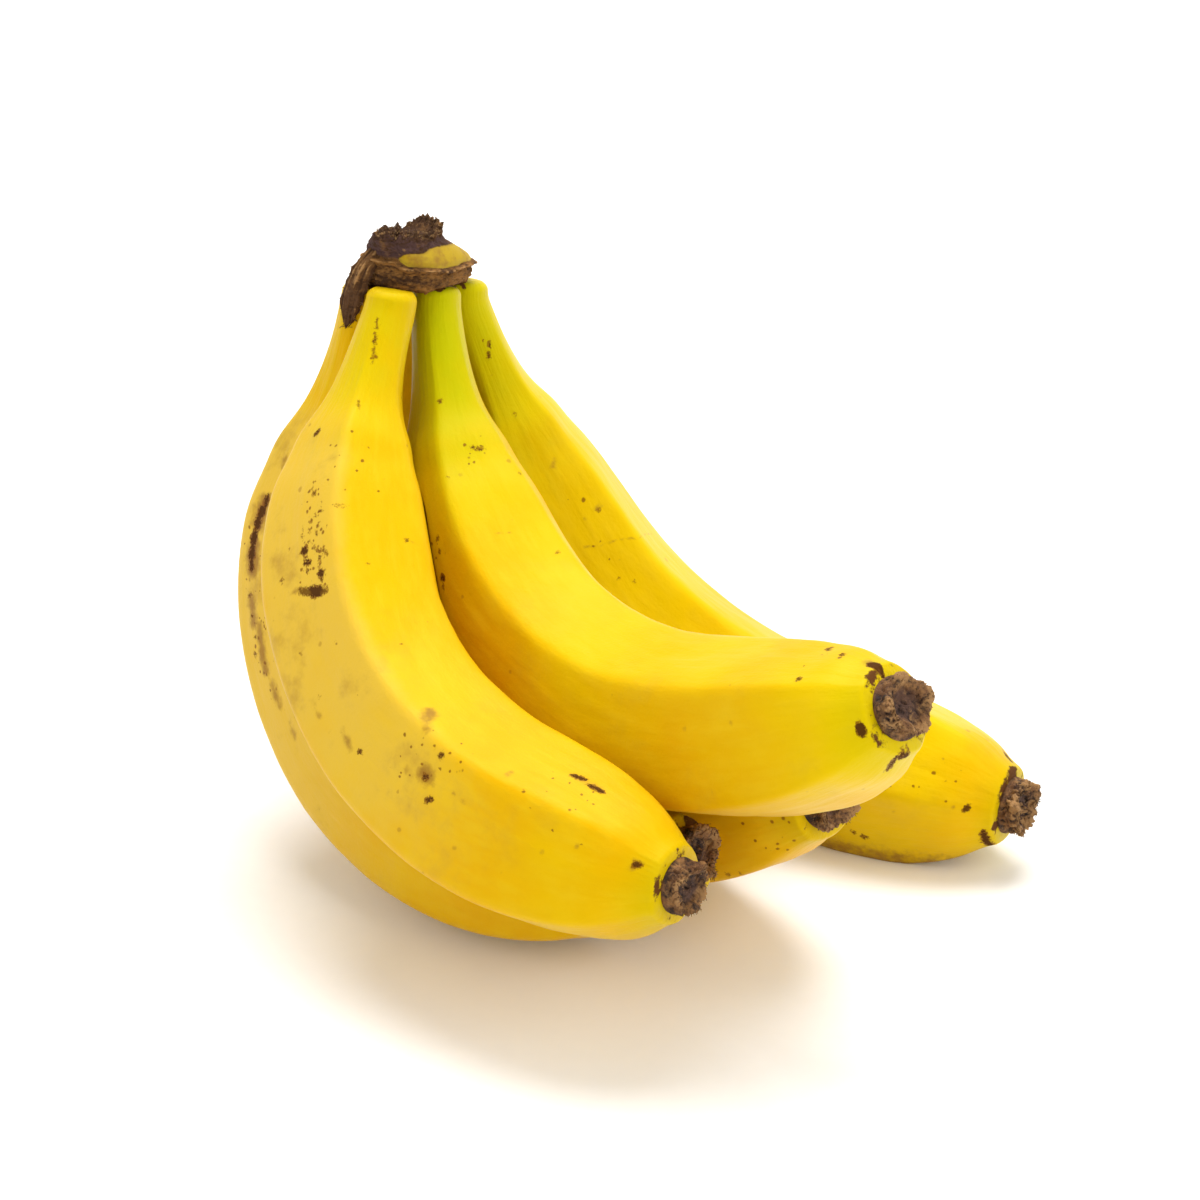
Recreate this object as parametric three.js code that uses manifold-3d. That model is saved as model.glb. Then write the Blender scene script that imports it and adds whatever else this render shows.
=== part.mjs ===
// A bunch of five ripe bananas on one cut crown, resting on its own fingers.
// Millimetres, +Z up.  The origin is the middle of the bunch's footprint, on the surface it lies on.
// Each finger is a straight ridged fruit bent onto its own centre line; the crown is one torn cushion.

import * as THREE from 'three';
import { mergeVertices } from 'three/addons/utils/BufferGeometryUtils.js';
import Module from 'manifold-3d';

const wasm = await Module();
wasm.setup();

// ---------------------------------------------------------------- driving dimensions

const GAP = 0.3;                          // left between neighbouring pieces

const CROWN_AT = new THREE.Vector3(-46.3, 54.1, 116.8);   // middle of the crown's underside
const CROWN_HEADING = 58.5;               // its long way, degrees from +X toward +Y
const CROWN_FALL = 14.5;                  // how far that way dips, degrees

const CAP_LENGTH = 5;                     // dried blossom end past the peel
const FACETS = [33, 100, 180, 260, 327];  // which ways the five flats face; 0 is the hollow side
const FACET_SHARPNESS = 14;
const RIDGE = 0.75;                       // how much of the full five-sided section shows
const PEEL_SIDES = 20;
const PEEL_STEPS = 30;
const CAP_SIDES = 16;

// Radius along the finger, as a share of its girth: slim neck, full body, quick taper to the tip.
const PEEL_OUTLINE = [
  [0, 0.27], [0.1, 0.33], [0.2, 0.62], [0.32, 0.86], [0.46, 0.9],
  [0.62, 0.93], [0.78, 0.94], [0.9, 0.77], [0.965, 0.48], [1, 0.33],
];
const NECK_ROUNDING = 2;                  // radius of the shoulder where a neck meets the crown
const TIP_ROUNDING = 1.6;                 // radius of the peel's edge at the blossom end

// neck: place on the crown, along and across it.  square: length in which the neck turns off square to
// the crown.  leave and reach: heading and dip, in degrees, past that and at the tip.  bend: share of
// the length where it curves most.  turn: how quickly it does.
const FINGERS = [
  { name: 'front', neck: [-15, 3], square: 8, leave: [-119, 55], reach: [-35, -6], length: 176.5,
    bend: 0.475, turn: 5.5, girth: 19.2, roll: -4, rests: false },
  { name: 'outer', neck: [-8.5, -6.5], square: 34, leave: [2, 111.5], reach: [-35, -22], length: 198.5,
    bend: 0.485, turn: 6, girth: 18.2, roll: 0, rests: true },
  { name: 'middle', neck: [0, 5.5], square: 8, leave: [-80, 65], reach: [-41, -30], length: 190,
    bend: 0.435, turn: 5.5, girth: 18.6, roll: 7, rests: false },
  { name: 'back', neck: [12.8, 4], square: 8, leave: [0, 73], reach: [-30, 1], length: 183,
    bend: 0.49, turn: 7.5, girth: 19.4, roll: -2, rests: true },
  { name: 'under', neck: [5.5, -6], square: 8, leave: [-48, 98], reach: [-46, -18], length: 216,
    bend: 0.437, turn: 11, girth: 18.8, roll: 0, rests: true },
];

// ---------------------------------------------------------------- small tools

const radians = THREE.MathUtils.degToRad;

function heading([around, dip]) {
  const flat = Math.cos(radians(dip));
  return new THREE.Vector3(
    flat * Math.cos(radians(around)), flat * Math.sin(radians(around)), -Math.sin(radians(dip)));
}

// Smooth curve through pairs of [place, value].
function through(pairs) {
  const curve = new THREE.CatmullRomCurve3(
    pairs.map(([place, value]) => new THREE.Vector3(place, value, 0)), false, 'centripetal');
  const fine = curve.getPoints(240);
  return (place) => {
    const next = Math.max(1, fine.findIndex((point) => point.x >= place));
    const [low, high] = [fine[next - 1], fine[next]];
    return THREE.MathUtils.mapLinear(place, low.x, high.x, low.y, high.y);
  };
}

// One closed body: shared corners merged and the collapsed triangles at the poles dropped.
function closed(geometry) {
  geometry.deleteAttribute('normal');
  geometry.deleteAttribute('uv');
  const merged = mergeVertices(geometry);
  const corners = merged.index.array;
  const kept = [];
  for (let i = 0; i < corners.length; i += 3) {
    const [a, b, c] = corners.slice(i, i + 3);
    if (a !== b && b !== c && c !== a) kept.push(a, b, c);
  }
  merged.setIndex(kept);
  return merged;
}

function toSolid(geometry) {
  const vertProperties = Float32Array.from(geometry.attributes.position.array);
  const triVerts = Uint32Array.from(geometry.index.array);
  return new wasm.Manifold(new wasm.Mesh({ numProp: 3, vertProperties, triVerts }));
}

function toGeometry(solid) {
  const mesh = solid.getMesh();
  const geometry = new THREE.BufferGeometry();
  geometry.setAttribute('position', new THREE.BufferAttribute(mesh.vertProperties, 3));
  geometry.setIndex(new THREE.BufferAttribute(mesh.triVerts, 1));
  return geometry;
}

function movePoints(geometry, place) {
  const position = geometry.attributes.position;
  const point = new THREE.Vector3();
  for (let i = 0; i < position.count; i += 1) {
    place(point.fromBufferAttribute(position, i));
    position.setXYZ(i, point.x, point.y, point.z);
  }
  return geometry;
}

// ---------------------------------------------------------------- the fingers' centre lines

const crownTurn = new THREE.Quaternion()
  .setFromAxisAngle(new THREE.Vector3(0, 0, 1), radians(CROWN_HEADING))
  .multiply(new THREE.Quaternion().setFromAxisAngle(new THREE.Vector3(0, 1, 0), radians(CROWN_FALL)));

const onCrown = (along, across, up) => new THREE.Vector3(along, -across, up)
  .applyQuaternion(crownTurn)
  .add(CROWN_AT);

// Which way a finger runs at a distance along it: square off the crown, then one smooth bend.
function runAt(finger, along) {
  const start = heading(finger.leave);
  const end = heading(finger.reach);
  const bent = (share) => 1 / (1 + Math.exp(-finger.turn * (share - finger.bend)));
  const share = (bent(along / finger.length) - bent(0)) / (bent(1) - bent(0));
  const angle = start.angleTo(end);
  const run = start.multiplyScalar(Math.sin((1 - share) * angle))
    .addScaledVector(end, Math.sin(share * angle))
    .divideScalar(Math.sin(angle));
  const square = new THREE.Vector3(0, 0, -1).applyQuaternion(crownTurn);
  return square.lerp(run, THREE.MathUtils.smoothstep(along, 0, finger.square)).normalize();
}

// Centre, inner side and width side of the finger at every millimetre.
function centreLine(finger) {
  const width = heading(finger.leave).cross(heading(finger.reach)).normalize();
  const stations = [];
  const centre = onCrown(...finger.neck, 0);
  for (let along = 0; along <= finger.length + 1; along += 1) {
    const run = runAt(finger, along);
    const inner = width.clone().cross(run).normalize();
    stations.push({ centre: centre.clone(), run, inner, side: inner.clone().cross(run) });
    centre.add(runAt(finger, along + 0.5));
  }
  return stations;
}

// The finger's frame at any distance along it.
function frameAt(stations, along) {
  const whole = THREE.MathUtils.clamp(Math.floor(along), 0, stations.length - 2);
  const [low, high] = [stations[whole], stations[whole + 1]];
  const share = along - whole;
  return {
    centre: low.centre.clone().lerp(high.centre, share),
    inner: low.inner.clone().lerp(high.inner, share).normalize(),
    side: low.side.clone().lerp(high.side, share).normalize(),
  };
}

// ---------------------------------------------------------------- peel and blossom end

// Rounded five-sided section: its reach at an angle from the hollow side, about 1 on average.
function section(angle) {
  const sum = FACETS.reduce((total, facet) => {
    const facing = Math.max(0, Math.cos(angle - radians(facet)));
    return total + facing ** FACET_SHARPNESS;
  }, 0);
  const fiveSided = sum ** (-1 / FACET_SHARPNESS);
  const average = 1.07;
  return 1 + RIDGE * (fiveSided / average - 1);
}

// A lathe-turned blank, along +Y from the neck, is given its section and bent onto the centre line.
function bentOnto(stations, blank, roundness, roll) {
  return movePoints(blank, (point) => {
    const reach = Math.hypot(point.x, point.z);
    const angle = Math.atan2(point.z, point.x);
    const shaped = reach * THREE.MathUtils.lerp(section(angle - radians(roll)), 1, roundness(point.y));
    const { centre, inner, side } = frameAt(stations, point.y);
    point.copy(centre)
      .addScaledVector(inner, shaped * Math.cos(angle))
      .addScaledVector(side, shaped * Math.sin(angle));
  });
}

function peel(finger, stations, growth = 0) {
  const outline = through(PEEL_OUTLINE);
  const end = finger.length - CAP_LENGTH;
  const radius = (along) => finger.girth * outline(along / finger.length) + growth;
  const profile = [new THREE.Vector2(0, -growth)];
  const shoulder = (centre, corner, from, to) => {
    for (let step = 0; step <= 2; step += 1) {
      const angle = radians(THREE.MathUtils.lerp(from, to, step / 2));
      profile.push(new THREE.Vector2(
        radius(centre) - corner + corner * Math.cos(angle), centre + corner * Math.sin(angle)));
    }
  };
  shoulder(NECK_ROUNDING - growth, NECK_ROUNDING, -90, -15);
  for (let step = 1; step < PEEL_STEPS; step += 1) {
    const along = THREE.MathUtils.lerp(NECK_ROUNDING, end - TIP_ROUNDING, step / PEEL_STEPS);
    profile.push(new THREE.Vector2(radius(along), along));
  }
  shoulder(end - TIP_ROUNDING + growth, TIP_ROUNDING, 15, 90);
  profile.push(new THREE.Vector2(0, end + growth));
  const blank = closed(new THREE.LatheGeometry(profile, PEEL_SIDES));
  // Round at the neck, fully five-sided along the body, rounder again at the tip.
  const roundness = (along) => 1 - THREE.MathUtils.smoothstep(along, -2, 30) * 0.75
    - THREE.MathUtils.smoothstep(along, 10, 60) * 0.25
    + THREE.MathUtils.smoothstep(along, finger.length - 25, finger.length - 4) * 0.7;
  return bentOnto(stations, blank, roundness, finger.roll);
}

// Dried blossom end: a short stub with a swollen ring and a sunken middle.
function blossomEnd(finger, stations) {
  const start = finger.length - CAP_LENGTH + GAP;
  const end = finger.length;
  const nearlyRound = 0.8;
  const outline = [
    [0, start], [5.9, start], [6.5, start + 1.1], [6, start + 2.6], [6.1, end - 0.9],
    [5.3, end], [3.6, end - 0.3], [2.6, end - 1.3], [0, end - 1.5],
  ];
  const profile = outline.map(([radius, along]) => new THREE.Vector2(radius, along));
  const blank = closed(new THREE.LatheGeometry(profile, CAP_SIDES));
  return bentOnto(stations, blank, () => nearlyRound, finger.roll);
}

// ---------------------------------------------------------------- the crown

const CROWN_STRETCH = 1.45;               // how much longer than wide it is
const CROWN_SIDES = 40;
const COLLAR_HEIGHT = 4.8;
const TEAR_HEIGHT = 11.8;
// Half width and height of its rings: flat underside, bark collar with a lip, dome, torn stump.
const CROWN_OUTLINE = [
  [0, 0], [8.6, 0], [10, 0.6], [10.3, 2.4], [10.2, 4], [10.7, COLLAR_HEIGHT], [10.2, 5.5],
  [9.4, 6.2], [8.9, 7.1], [7.6, 8.3], [6.6, 9.2], [6.1, 10], [6.1, TEAR_HEIGHT],
  [5, TEAR_HEIGHT + 0.4], [3.4, 10.8], [0, 10.2],
];
const STUMP_SHIFT = -5.5;                 // the torn stump sits toward the crown's front end
// The flap's middle line, from the middle of the crown's underside.
const FLAP = [
  [-7.4, -5.5, 9.6], [-10.2, -8.5, 6.8], [-12.4, -9.5, 2.4], [-13.6, -9.6, -2], [-14, -9.6, -6.6],
];
const FLAP_WIDTH = 5.4;
const FLAP_THICKNESS = 1.7;
const FLAP_FACES = new THREE.Vector3(-0.6, -0.8, 0);

function crownBody() {
  const profile = CROWN_OUTLINE.map(([radius, height]) => new THREE.Vector2(radius, height));
  const body = closed(new THREE.LatheGeometry(profile, CROWN_SIDES));
  const smooth = THREE.MathUtils.smoothstep;
  return movePoints(body, (point) => {
    const angle = Math.atan2(point.z, point.x);
    const height = point.y;
    // The collar's lip is wavy; the stump's rim is torn, highest on one side.
    const lip = Math.exp(-((height - COLLAR_HEIGHT) ** 2));
    const rim = Math.hypot(point.x, point.z) > 2 ? 1 : 0;
    const torn = smooth(height, TEAR_HEIGHT - 2, TEAR_HEIGHT) * rim;
    const grow = 1 + lip * 0.04 * Math.sin(7 * angle + 1);
    const wave = lip * (0.5 * Math.sin(2 * angle + 2.4) + 0.3 * Math.sin(5 * angle));
    const jag = torn * (2 * Math.sin(angle + 0.6) + 0.4 * Math.sin(3 * angle + 1)
      + 0.5 * Math.sin(8 * angle + 2) + 0.4 * Math.sin(17 * angle));
    const along = point.x * CROWN_STRETCH * grow + STUMP_SHIFT * smooth(height, 5, 11);
    point.copy(onCrown(along, point.z * grow, height + wave + jag));
  });
}

// A tongue of dried skin, torn off the crown's edge and hanging down beside the necks.
function flap() {
  const line = new THREE.CatmullRomCurve3(FLAP.map(([x, y, z]) => new THREE.Vector3(x, y, z)));
  const length = line.getLength();
  const profile = [new THREE.Vector2(0, 0)];
  const steps = 12;
  for (let step = 0; step < steps; step += 1) {
    const share = step / steps;
    const taper = Math.sqrt(Math.min(1, (1 - share) * 5)) * (0.75 + 1.2 * share * (1 - share));
    profile.push(new THREE.Vector2(taper, 0.2 + share * length));
  }
  profile.push(new THREE.Vector2(0, length));
  const blank = closed(new THREE.LatheGeometry(profile, 10));
  return movePoints(blank, (point) => {
    const share = THREE.MathUtils.clamp(point.y / length, 0, 1);
    const run = line.getTangentAt(share);
    const wide = run.clone().cross(FLAP_FACES).normalize();
    const thick = wide.clone().cross(run);
    const centre = line.getPointAt(share).add(CROWN_AT);
    point.copy(centre.addScaledVector(wide, point.x * FLAP_WIDTH / 2)
      .addScaledVector(thick, point.z * FLAP_THICKNESS / 2));
  });
}

// ---------------------------------------------------------------- materials and assembly

const peelFinish = new THREE.MeshStandardMaterial({ color: '#f2c80f', roughness: 0.45 });
const barkFinish = new THREE.MeshStandardMaterial({ color: '#6b4a33', roughness: 0.9 });
const driedFinish = new THREE.MeshStandardMaterial({ color: '#5c4638', roughness: 0.95 });

function piece(name, geometry, finish) {
  const mesh = new THREE.Mesh(geometry, finish);
  mesh.name = name;
  return mesh;
}

const bunch = new THREE.Group();
const room = new THREE.BoxGeometry(400, 400, 100).translate(0, 0, -50);
const surface = toSolid(closed(room));
const grown = [];

for (const finger of FINGERS) {
  const stations = centreLine(finger);
  const fruit = peel(finger, stations);
  let solid = toSolid(fruit);
  if (finger.rests) solid = solid.subtract(surface);
  grown.forEach((neighbour) => {
    solid = solid.subtract(neighbour);
  });
  grown.push(toSolid(peel(finger, stations, GAP)));
  bunch.add(piece(`finger_${finger.name}`, toGeometry(solid), peelFinish));
  bunch.add(piece(`blossom_end_${finger.name}`, blossomEnd(finger, stations), driedFinish));
}

let crown = toSolid(crownBody()).add(toSolid(flap()));
grown.forEach((neck) => {
  crown = crown.subtract(neck);
});
bunch.add(piece('crown', toGeometry(crown), barkFinish));

export default bunch;
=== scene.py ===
"""A bunch of five ripe bananas on one cut crown.

Every finger is grown by one rule: a run of stations from the crown to the blossom end, a five-sided
section that goes round at both ends, and peel that gives way where it lies on a neighbour or on the
table.  The crown is a bark cushion with a torn stump, a hanging tongue of skin and webs of scar tissue
between the necks.  Sizes in this file are millimetres until they reach a mesh, which is in metres.
"""
import math
from functools import partialmethod

import bmesh
import bpy
import numpy as np
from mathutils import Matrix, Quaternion, Vector, noise
from mathutils.bvhtree import BVHTree


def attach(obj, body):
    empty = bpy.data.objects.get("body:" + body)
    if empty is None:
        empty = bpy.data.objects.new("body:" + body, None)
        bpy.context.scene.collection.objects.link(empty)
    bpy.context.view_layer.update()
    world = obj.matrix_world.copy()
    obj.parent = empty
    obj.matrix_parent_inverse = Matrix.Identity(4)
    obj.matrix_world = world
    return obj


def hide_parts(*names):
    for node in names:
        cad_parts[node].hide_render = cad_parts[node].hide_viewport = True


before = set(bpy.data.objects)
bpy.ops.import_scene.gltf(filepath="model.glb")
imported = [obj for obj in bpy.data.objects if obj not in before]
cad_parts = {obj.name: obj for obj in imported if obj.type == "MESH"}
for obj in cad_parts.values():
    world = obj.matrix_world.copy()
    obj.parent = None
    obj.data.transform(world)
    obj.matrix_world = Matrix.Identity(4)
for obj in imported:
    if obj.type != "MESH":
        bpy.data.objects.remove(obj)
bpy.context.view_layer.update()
MM = 0.001

# ------------ the bunch's own numbers

CROWN_AT = Vector((-46.3, 54.1, 116.8))  # middle of the crown's underside
CROWN_HEADING = math.radians(58.5)  # its long way, from +X toward +Y
CROWN_FALL = math.radians(14.5)  # how far that way dips
CROWN_STRETCH = 1.45  # its long way over its short way
CAP_LENGTH = 5.0  # dried end past the peel
GAP = 0.3  # left between a finger and its neighbour
PRESS_DEPTH = 8.0  # a neighbour is felt this far inside the peel

FACETS = (33, 100, 180, 260, 327)  # which ways the five flats face; 0 is the hollow side
FACET_SHARPNESS = 20.0
FACET_MEAN = 1.085  # average reach of a section with facets this sharp
RIDGE = 0.92  # how much of the full five-sided section shows
NECK_CORNER, TIP_CORNER = 2.2, 1.1  # rounding of the peel's two ends
LUMPS = 0.07  # slow unevenness, as a share of the radius
PEEL_RINGS, PEEL_SIDES = 300, 190
CROWDING = 0.6  # how much closer the rings lie at both ends
LINE_STEPS = 260  # short steps along a centre line
WELD = 2e-6  # metres; closer points are made one
LUMP_STRETCH, LUMP_SCALE = 0.022, 1.7  # how the unevenness runs along, and its waves round a finger
TIP_TAPER = 15.0  # the peel narrows to its tip over this length
# Radius along the finger, as a share of its girth.
PEEL_OUTLINE = (
    (0, 0.27), (0.1, 0.33), (0.2, 0.62), (0.32, 0.86), (0.46, 0.9),
    (0.62, 0.93), (0.78, 0.94), (0.9, 0.77), (0.965, 0.48), (1, 0.33),
)

# neck: along and across the crown, with rise above it.  square: length in which the neck turns off
# square to the crown.  leave, reach: heading and dip in degrees, past that and at the tip.  bend, turn:
# where and how quickly the finger curves.  tip: how much of the outline's width the tip keeps.
FINGERS = {
    "front": dict(neck=(-13.2, 3), rise=-0.2, square=8, leave=(-119, 55), reach=(-35, -3.6),
                  length=176.5, bend=0.475, turn=5.5, girth=19.2, roll=-4, tip=0.9),
    "outer": dict(neck=(-8.5, -6.5), rise=-0.8, square=34, leave=(2, 111.5), reach=(-35, -24.8),
                  length=198.5, bend=0.485, turn=6, girth=18.2, roll=0, tip=0.98),
    "middle": dict(neck=(0, 5.5), rise=0.6, square=8, leave=(-80, 65), reach=(-41, -30), length=190,
                   bend=0.435, turn=5.5, girth=18.6, roll=7, tip=1.06),
    "back": dict(neck=(12.8, 4), rise=0.8, square=8, leave=(0, 73), reach=(-29, 1.5), length=184.5,
                 bend=0.49, turn=7.5, girth=18.8, roll=-2, tip=0.98),
    "under": dict(neck=(5.5, -6), rise=-0.4, square=8, leave=(-48, 98), reach=(-46, -18.9),
                  length=214.5, bend=0.437, turn=11, girth=18.8, roll=0, tip=0.98),
}

crown_turn = Quaternion((0, 0, 1), CROWN_HEADING) @ Quaternion((0, 1, 0), CROWN_FALL)


def on_crown(along, across, up):
    """A place on the crown, in millimetres."""
    return crown_turn @ Vector((along, -across, up)) + CROWN_AT


def heading(around, dip):
    """The way that points so many degrees round from +X and dips so many below level."""
    around, dip = math.radians(around), math.radians(dip)
    return Vector((math.cos(dip) * math.cos(around), math.cos(dip) * math.sin(around), -math.sin(dip)))


def smooth(value, low, high):
    """From 0 to 1, gently, as value goes from low to high."""
    share = np.clip((np.asarray(value, float) - low) / (high - low), 0, 1)
    return share * share * (3 - 2 * share)


def ridge(value, middle, width):
    """1 in the middle, falling away softly on both sides."""
    return np.exp(-((value - middle) / width) ** 2)


def off_by(around, way):
    """Degrees from one way round a finger to another, from -180 to 180."""
    return (around - way + 180) % 360 - 180


# ------------ node trees in short words


def plug(tree, socket, value):
    """Link what comes from another node, and set what is a plain value."""
    if isinstance(value, bpy.types.NodeSocket):
        tree.links.new(value, socket)
    else:
        socket.default_value = value


class Bench:
    """A node tree, with one short word for each common step."""

    def __init__(self, tree):
        self.tree = tree

    def add(self, kind, inputs=None, **settings):
        node = self.tree.nodes.new(kind)
        for name, value in settings.items():
            setattr(node, name, value)
        for key, value in (inputs or {}).items():
            plug(self.tree, node.inputs[key], value)
        return node

    def math(self, operation, *values):
        return self.add("ShaderNodeMath", dict(enumerate(values)), operation=operation).outputs[0]

    plus, minus = partialmethod(math, "ADD"), partialmethod(math, "SUBTRACT")
    times, over = partialmethod(math, "MULTIPLY"), partialmethod(math, "DIVIDE")
    times_plus = partialmethod(math, "MULTIPLY_ADD")

    def vector(self, operation, *values):
        node = self.add("ShaderNodeVectorMath", operation=operation)
        for slot, value in enumerate(values):
            key = "Scale" if operation == "SCALE" and slot == 1 else slot
            plug(self.tree, node.inputs[key], value)
        return node.outputs["Value" if operation in ("DOT_PRODUCT", "LENGTH") else "Vector"]

    moved, scaled = partialmethod(vector, "ADD"), partialmethod(vector, "SCALE")
    unit, cross = partialmethod(vector, "NORMALIZE"), partialmethod(vector, "CROSS_PRODUCT")

    def smooth(self, value, low, high, start=0.0, end=1.0):
        """From start to end, gently, as value goes from low to high."""
        inputs = {"Value": value, "From Min": low, "From Max": high, "To Min": start, "To Max": end}
        return self.add("ShaderNodeMapRange", inputs, interpolation_type="SMOOTHSTEP").outputs[0]

    def blend(self, share, first, second):
        inputs = {0: share, 6: first, 7: second}
        return self.add("ShaderNodeMix", inputs, data_type="RGBA", clamp_factor=True).outputs[2]

    def coated(self, colour, *coats):
        """A colour under coats of others, each given as the share that it covers and its colour."""
        for share, coat in coats:
            colour = self.blend(share, colour, coat)
        return colour

    def noise(self, place, scale, detail=3.0, roughness=0.55, out="Fac"):
        """Noise with so many waves to a metre."""
        inputs = {"Vector": place, "Scale": scale, "Detail": detail, "Roughness": roughness}
        return self.add("ShaderNodeTexNoise", inputs).outputs[out]

    def attribute(self, name, out="Fac"):
        return self.add("ShaderNodeAttribute", attribute_name=name).outputs[out]

    def group(self, tree, **inputs):
        return self.add("ShaderNodeGroup", inputs, node_tree=tree).outputs

    def step(self, kind, **inputs):
        """One step of a geometry tree, and what comes out of it first."""
        return self.add("GeometryNode" + kind, spaced(inputs)).outputs[0]

    def joined(self, x=0.0, y=0.0, z=0.0):
        return self.add("ShaderNodeCombineXYZ", {"X": x, "Y": y, "Z": z}).outputs[0]

    def parts(self, vector):
        return self.add("ShaderNodeSeparateXYZ", {0: vector}).outputs


def spaced(words):
    """The same words, with the spaces that a socket's name has."""
    return {name.replace("_", " "): value for name, value in words.items()}


def new_group(name, kind, inputs, results):
    """A node group with its sockets, written as kind: names.  Returns it, its bench and its inputs."""
    tree = bpy.data.node_groups.new(name, kind)
    for way, entries in (("INPUT", inputs), ("OUTPUT", results)):
        for socket, names in entries.items():
            for label in names:
                tree.interface.new_socket(label, in_out=way, socket_type=socket)
    b = Bench(tree)
    return tree, b, b.add("NodeGroupInput").outputs


FLOAT, VECTOR, WHOLE = "NodeSocketFloat", "NodeSocketVector", "NodeSocketInt"
SHAPE, FINISH, COLOUR = "NodeSocketGeometry", "NodeSocketMaterial", "NodeSocketColor"

# ------------ the rule every finger grows by


def run_tree():
    """Which way a finger runs at a share of its length: square off the crown, then one bend."""
    tree, b, given = new_group("finger run", "GeometryNodeTree", {
        FLOAT: ["Share", "Bend", "Turn", "Square Share"], VECTOR: ["Leave", "Reach", "Square"]},
        {VECTOR: ["Run"]})

    def bent(share):
        steep = b.times(b.minus(given["Bend"], share), given["Turn"])
        return b.over(1.0, b.plus(1.0, b.math("EXPONENT", steep)))

    start, end = bent(0.0), bent(1.0)
    turned = b.over(b.minus(bent(given["Share"]), start), b.minus(end, start))
    angle = b.math("ARCCOSINE", b.vector("DOT_PRODUCT", given["Leave"], given["Reach"]))
    still = b.math("SINE", b.times(b.minus(1.0, turned), angle))
    gone = b.math("SINE", b.times(turned, angle))
    run = b.unit(b.moved(b.scaled(given["Leave"], still), b.scaled(given["Reach"], gone)))
    off = b.smooth(given["Share"], 0.0, given["Square Share"])
    square = b.scaled(given["Square"], b.minus(1.0, off))
    b.add("NodeGroupOutput", {"Run": b.unit(b.moved(square, b.scaled(run, off)))})
    return tree


def outline_curve(b, share, outline):
    """The outline's value at a share of the length, through smooth handles."""
    node = b.add("ShaderNodeFloatCurve", {"Value": share})
    curve = node.mapping.curves[0]
    while len(curve.points) > 2:
        curve.points.remove(curve.points[1])
    for point, (place, value) in zip(curve.points, (outline[0], outline[-1])):
        point.location = (place, value)
    for place, value in outline[1:-1]:
        curve.points.new(place, value)
    node.mapping.update()
    return node.outputs[0]


def five_sided(b, angle):
    """Reach of the rounded five-sided section at an angle, about 1 on average."""
    total = 0.0
    for facet in FACETS:
        facing = b.math("COSINE", b.minus(angle, math.radians(facet)))
        share = b.math("POWER", b.math("MAXIMUM", facing, 0.0), FACET_SHARPNESS)
        total = b.plus(share, total)
    sharp = b.over(b.math("POWER", total, -1 / FACET_SHARPNESS), FACET_MEAN)
    return b.times_plus(b.minus(sharp, 1.0), RIDGE, 1.0)


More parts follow.
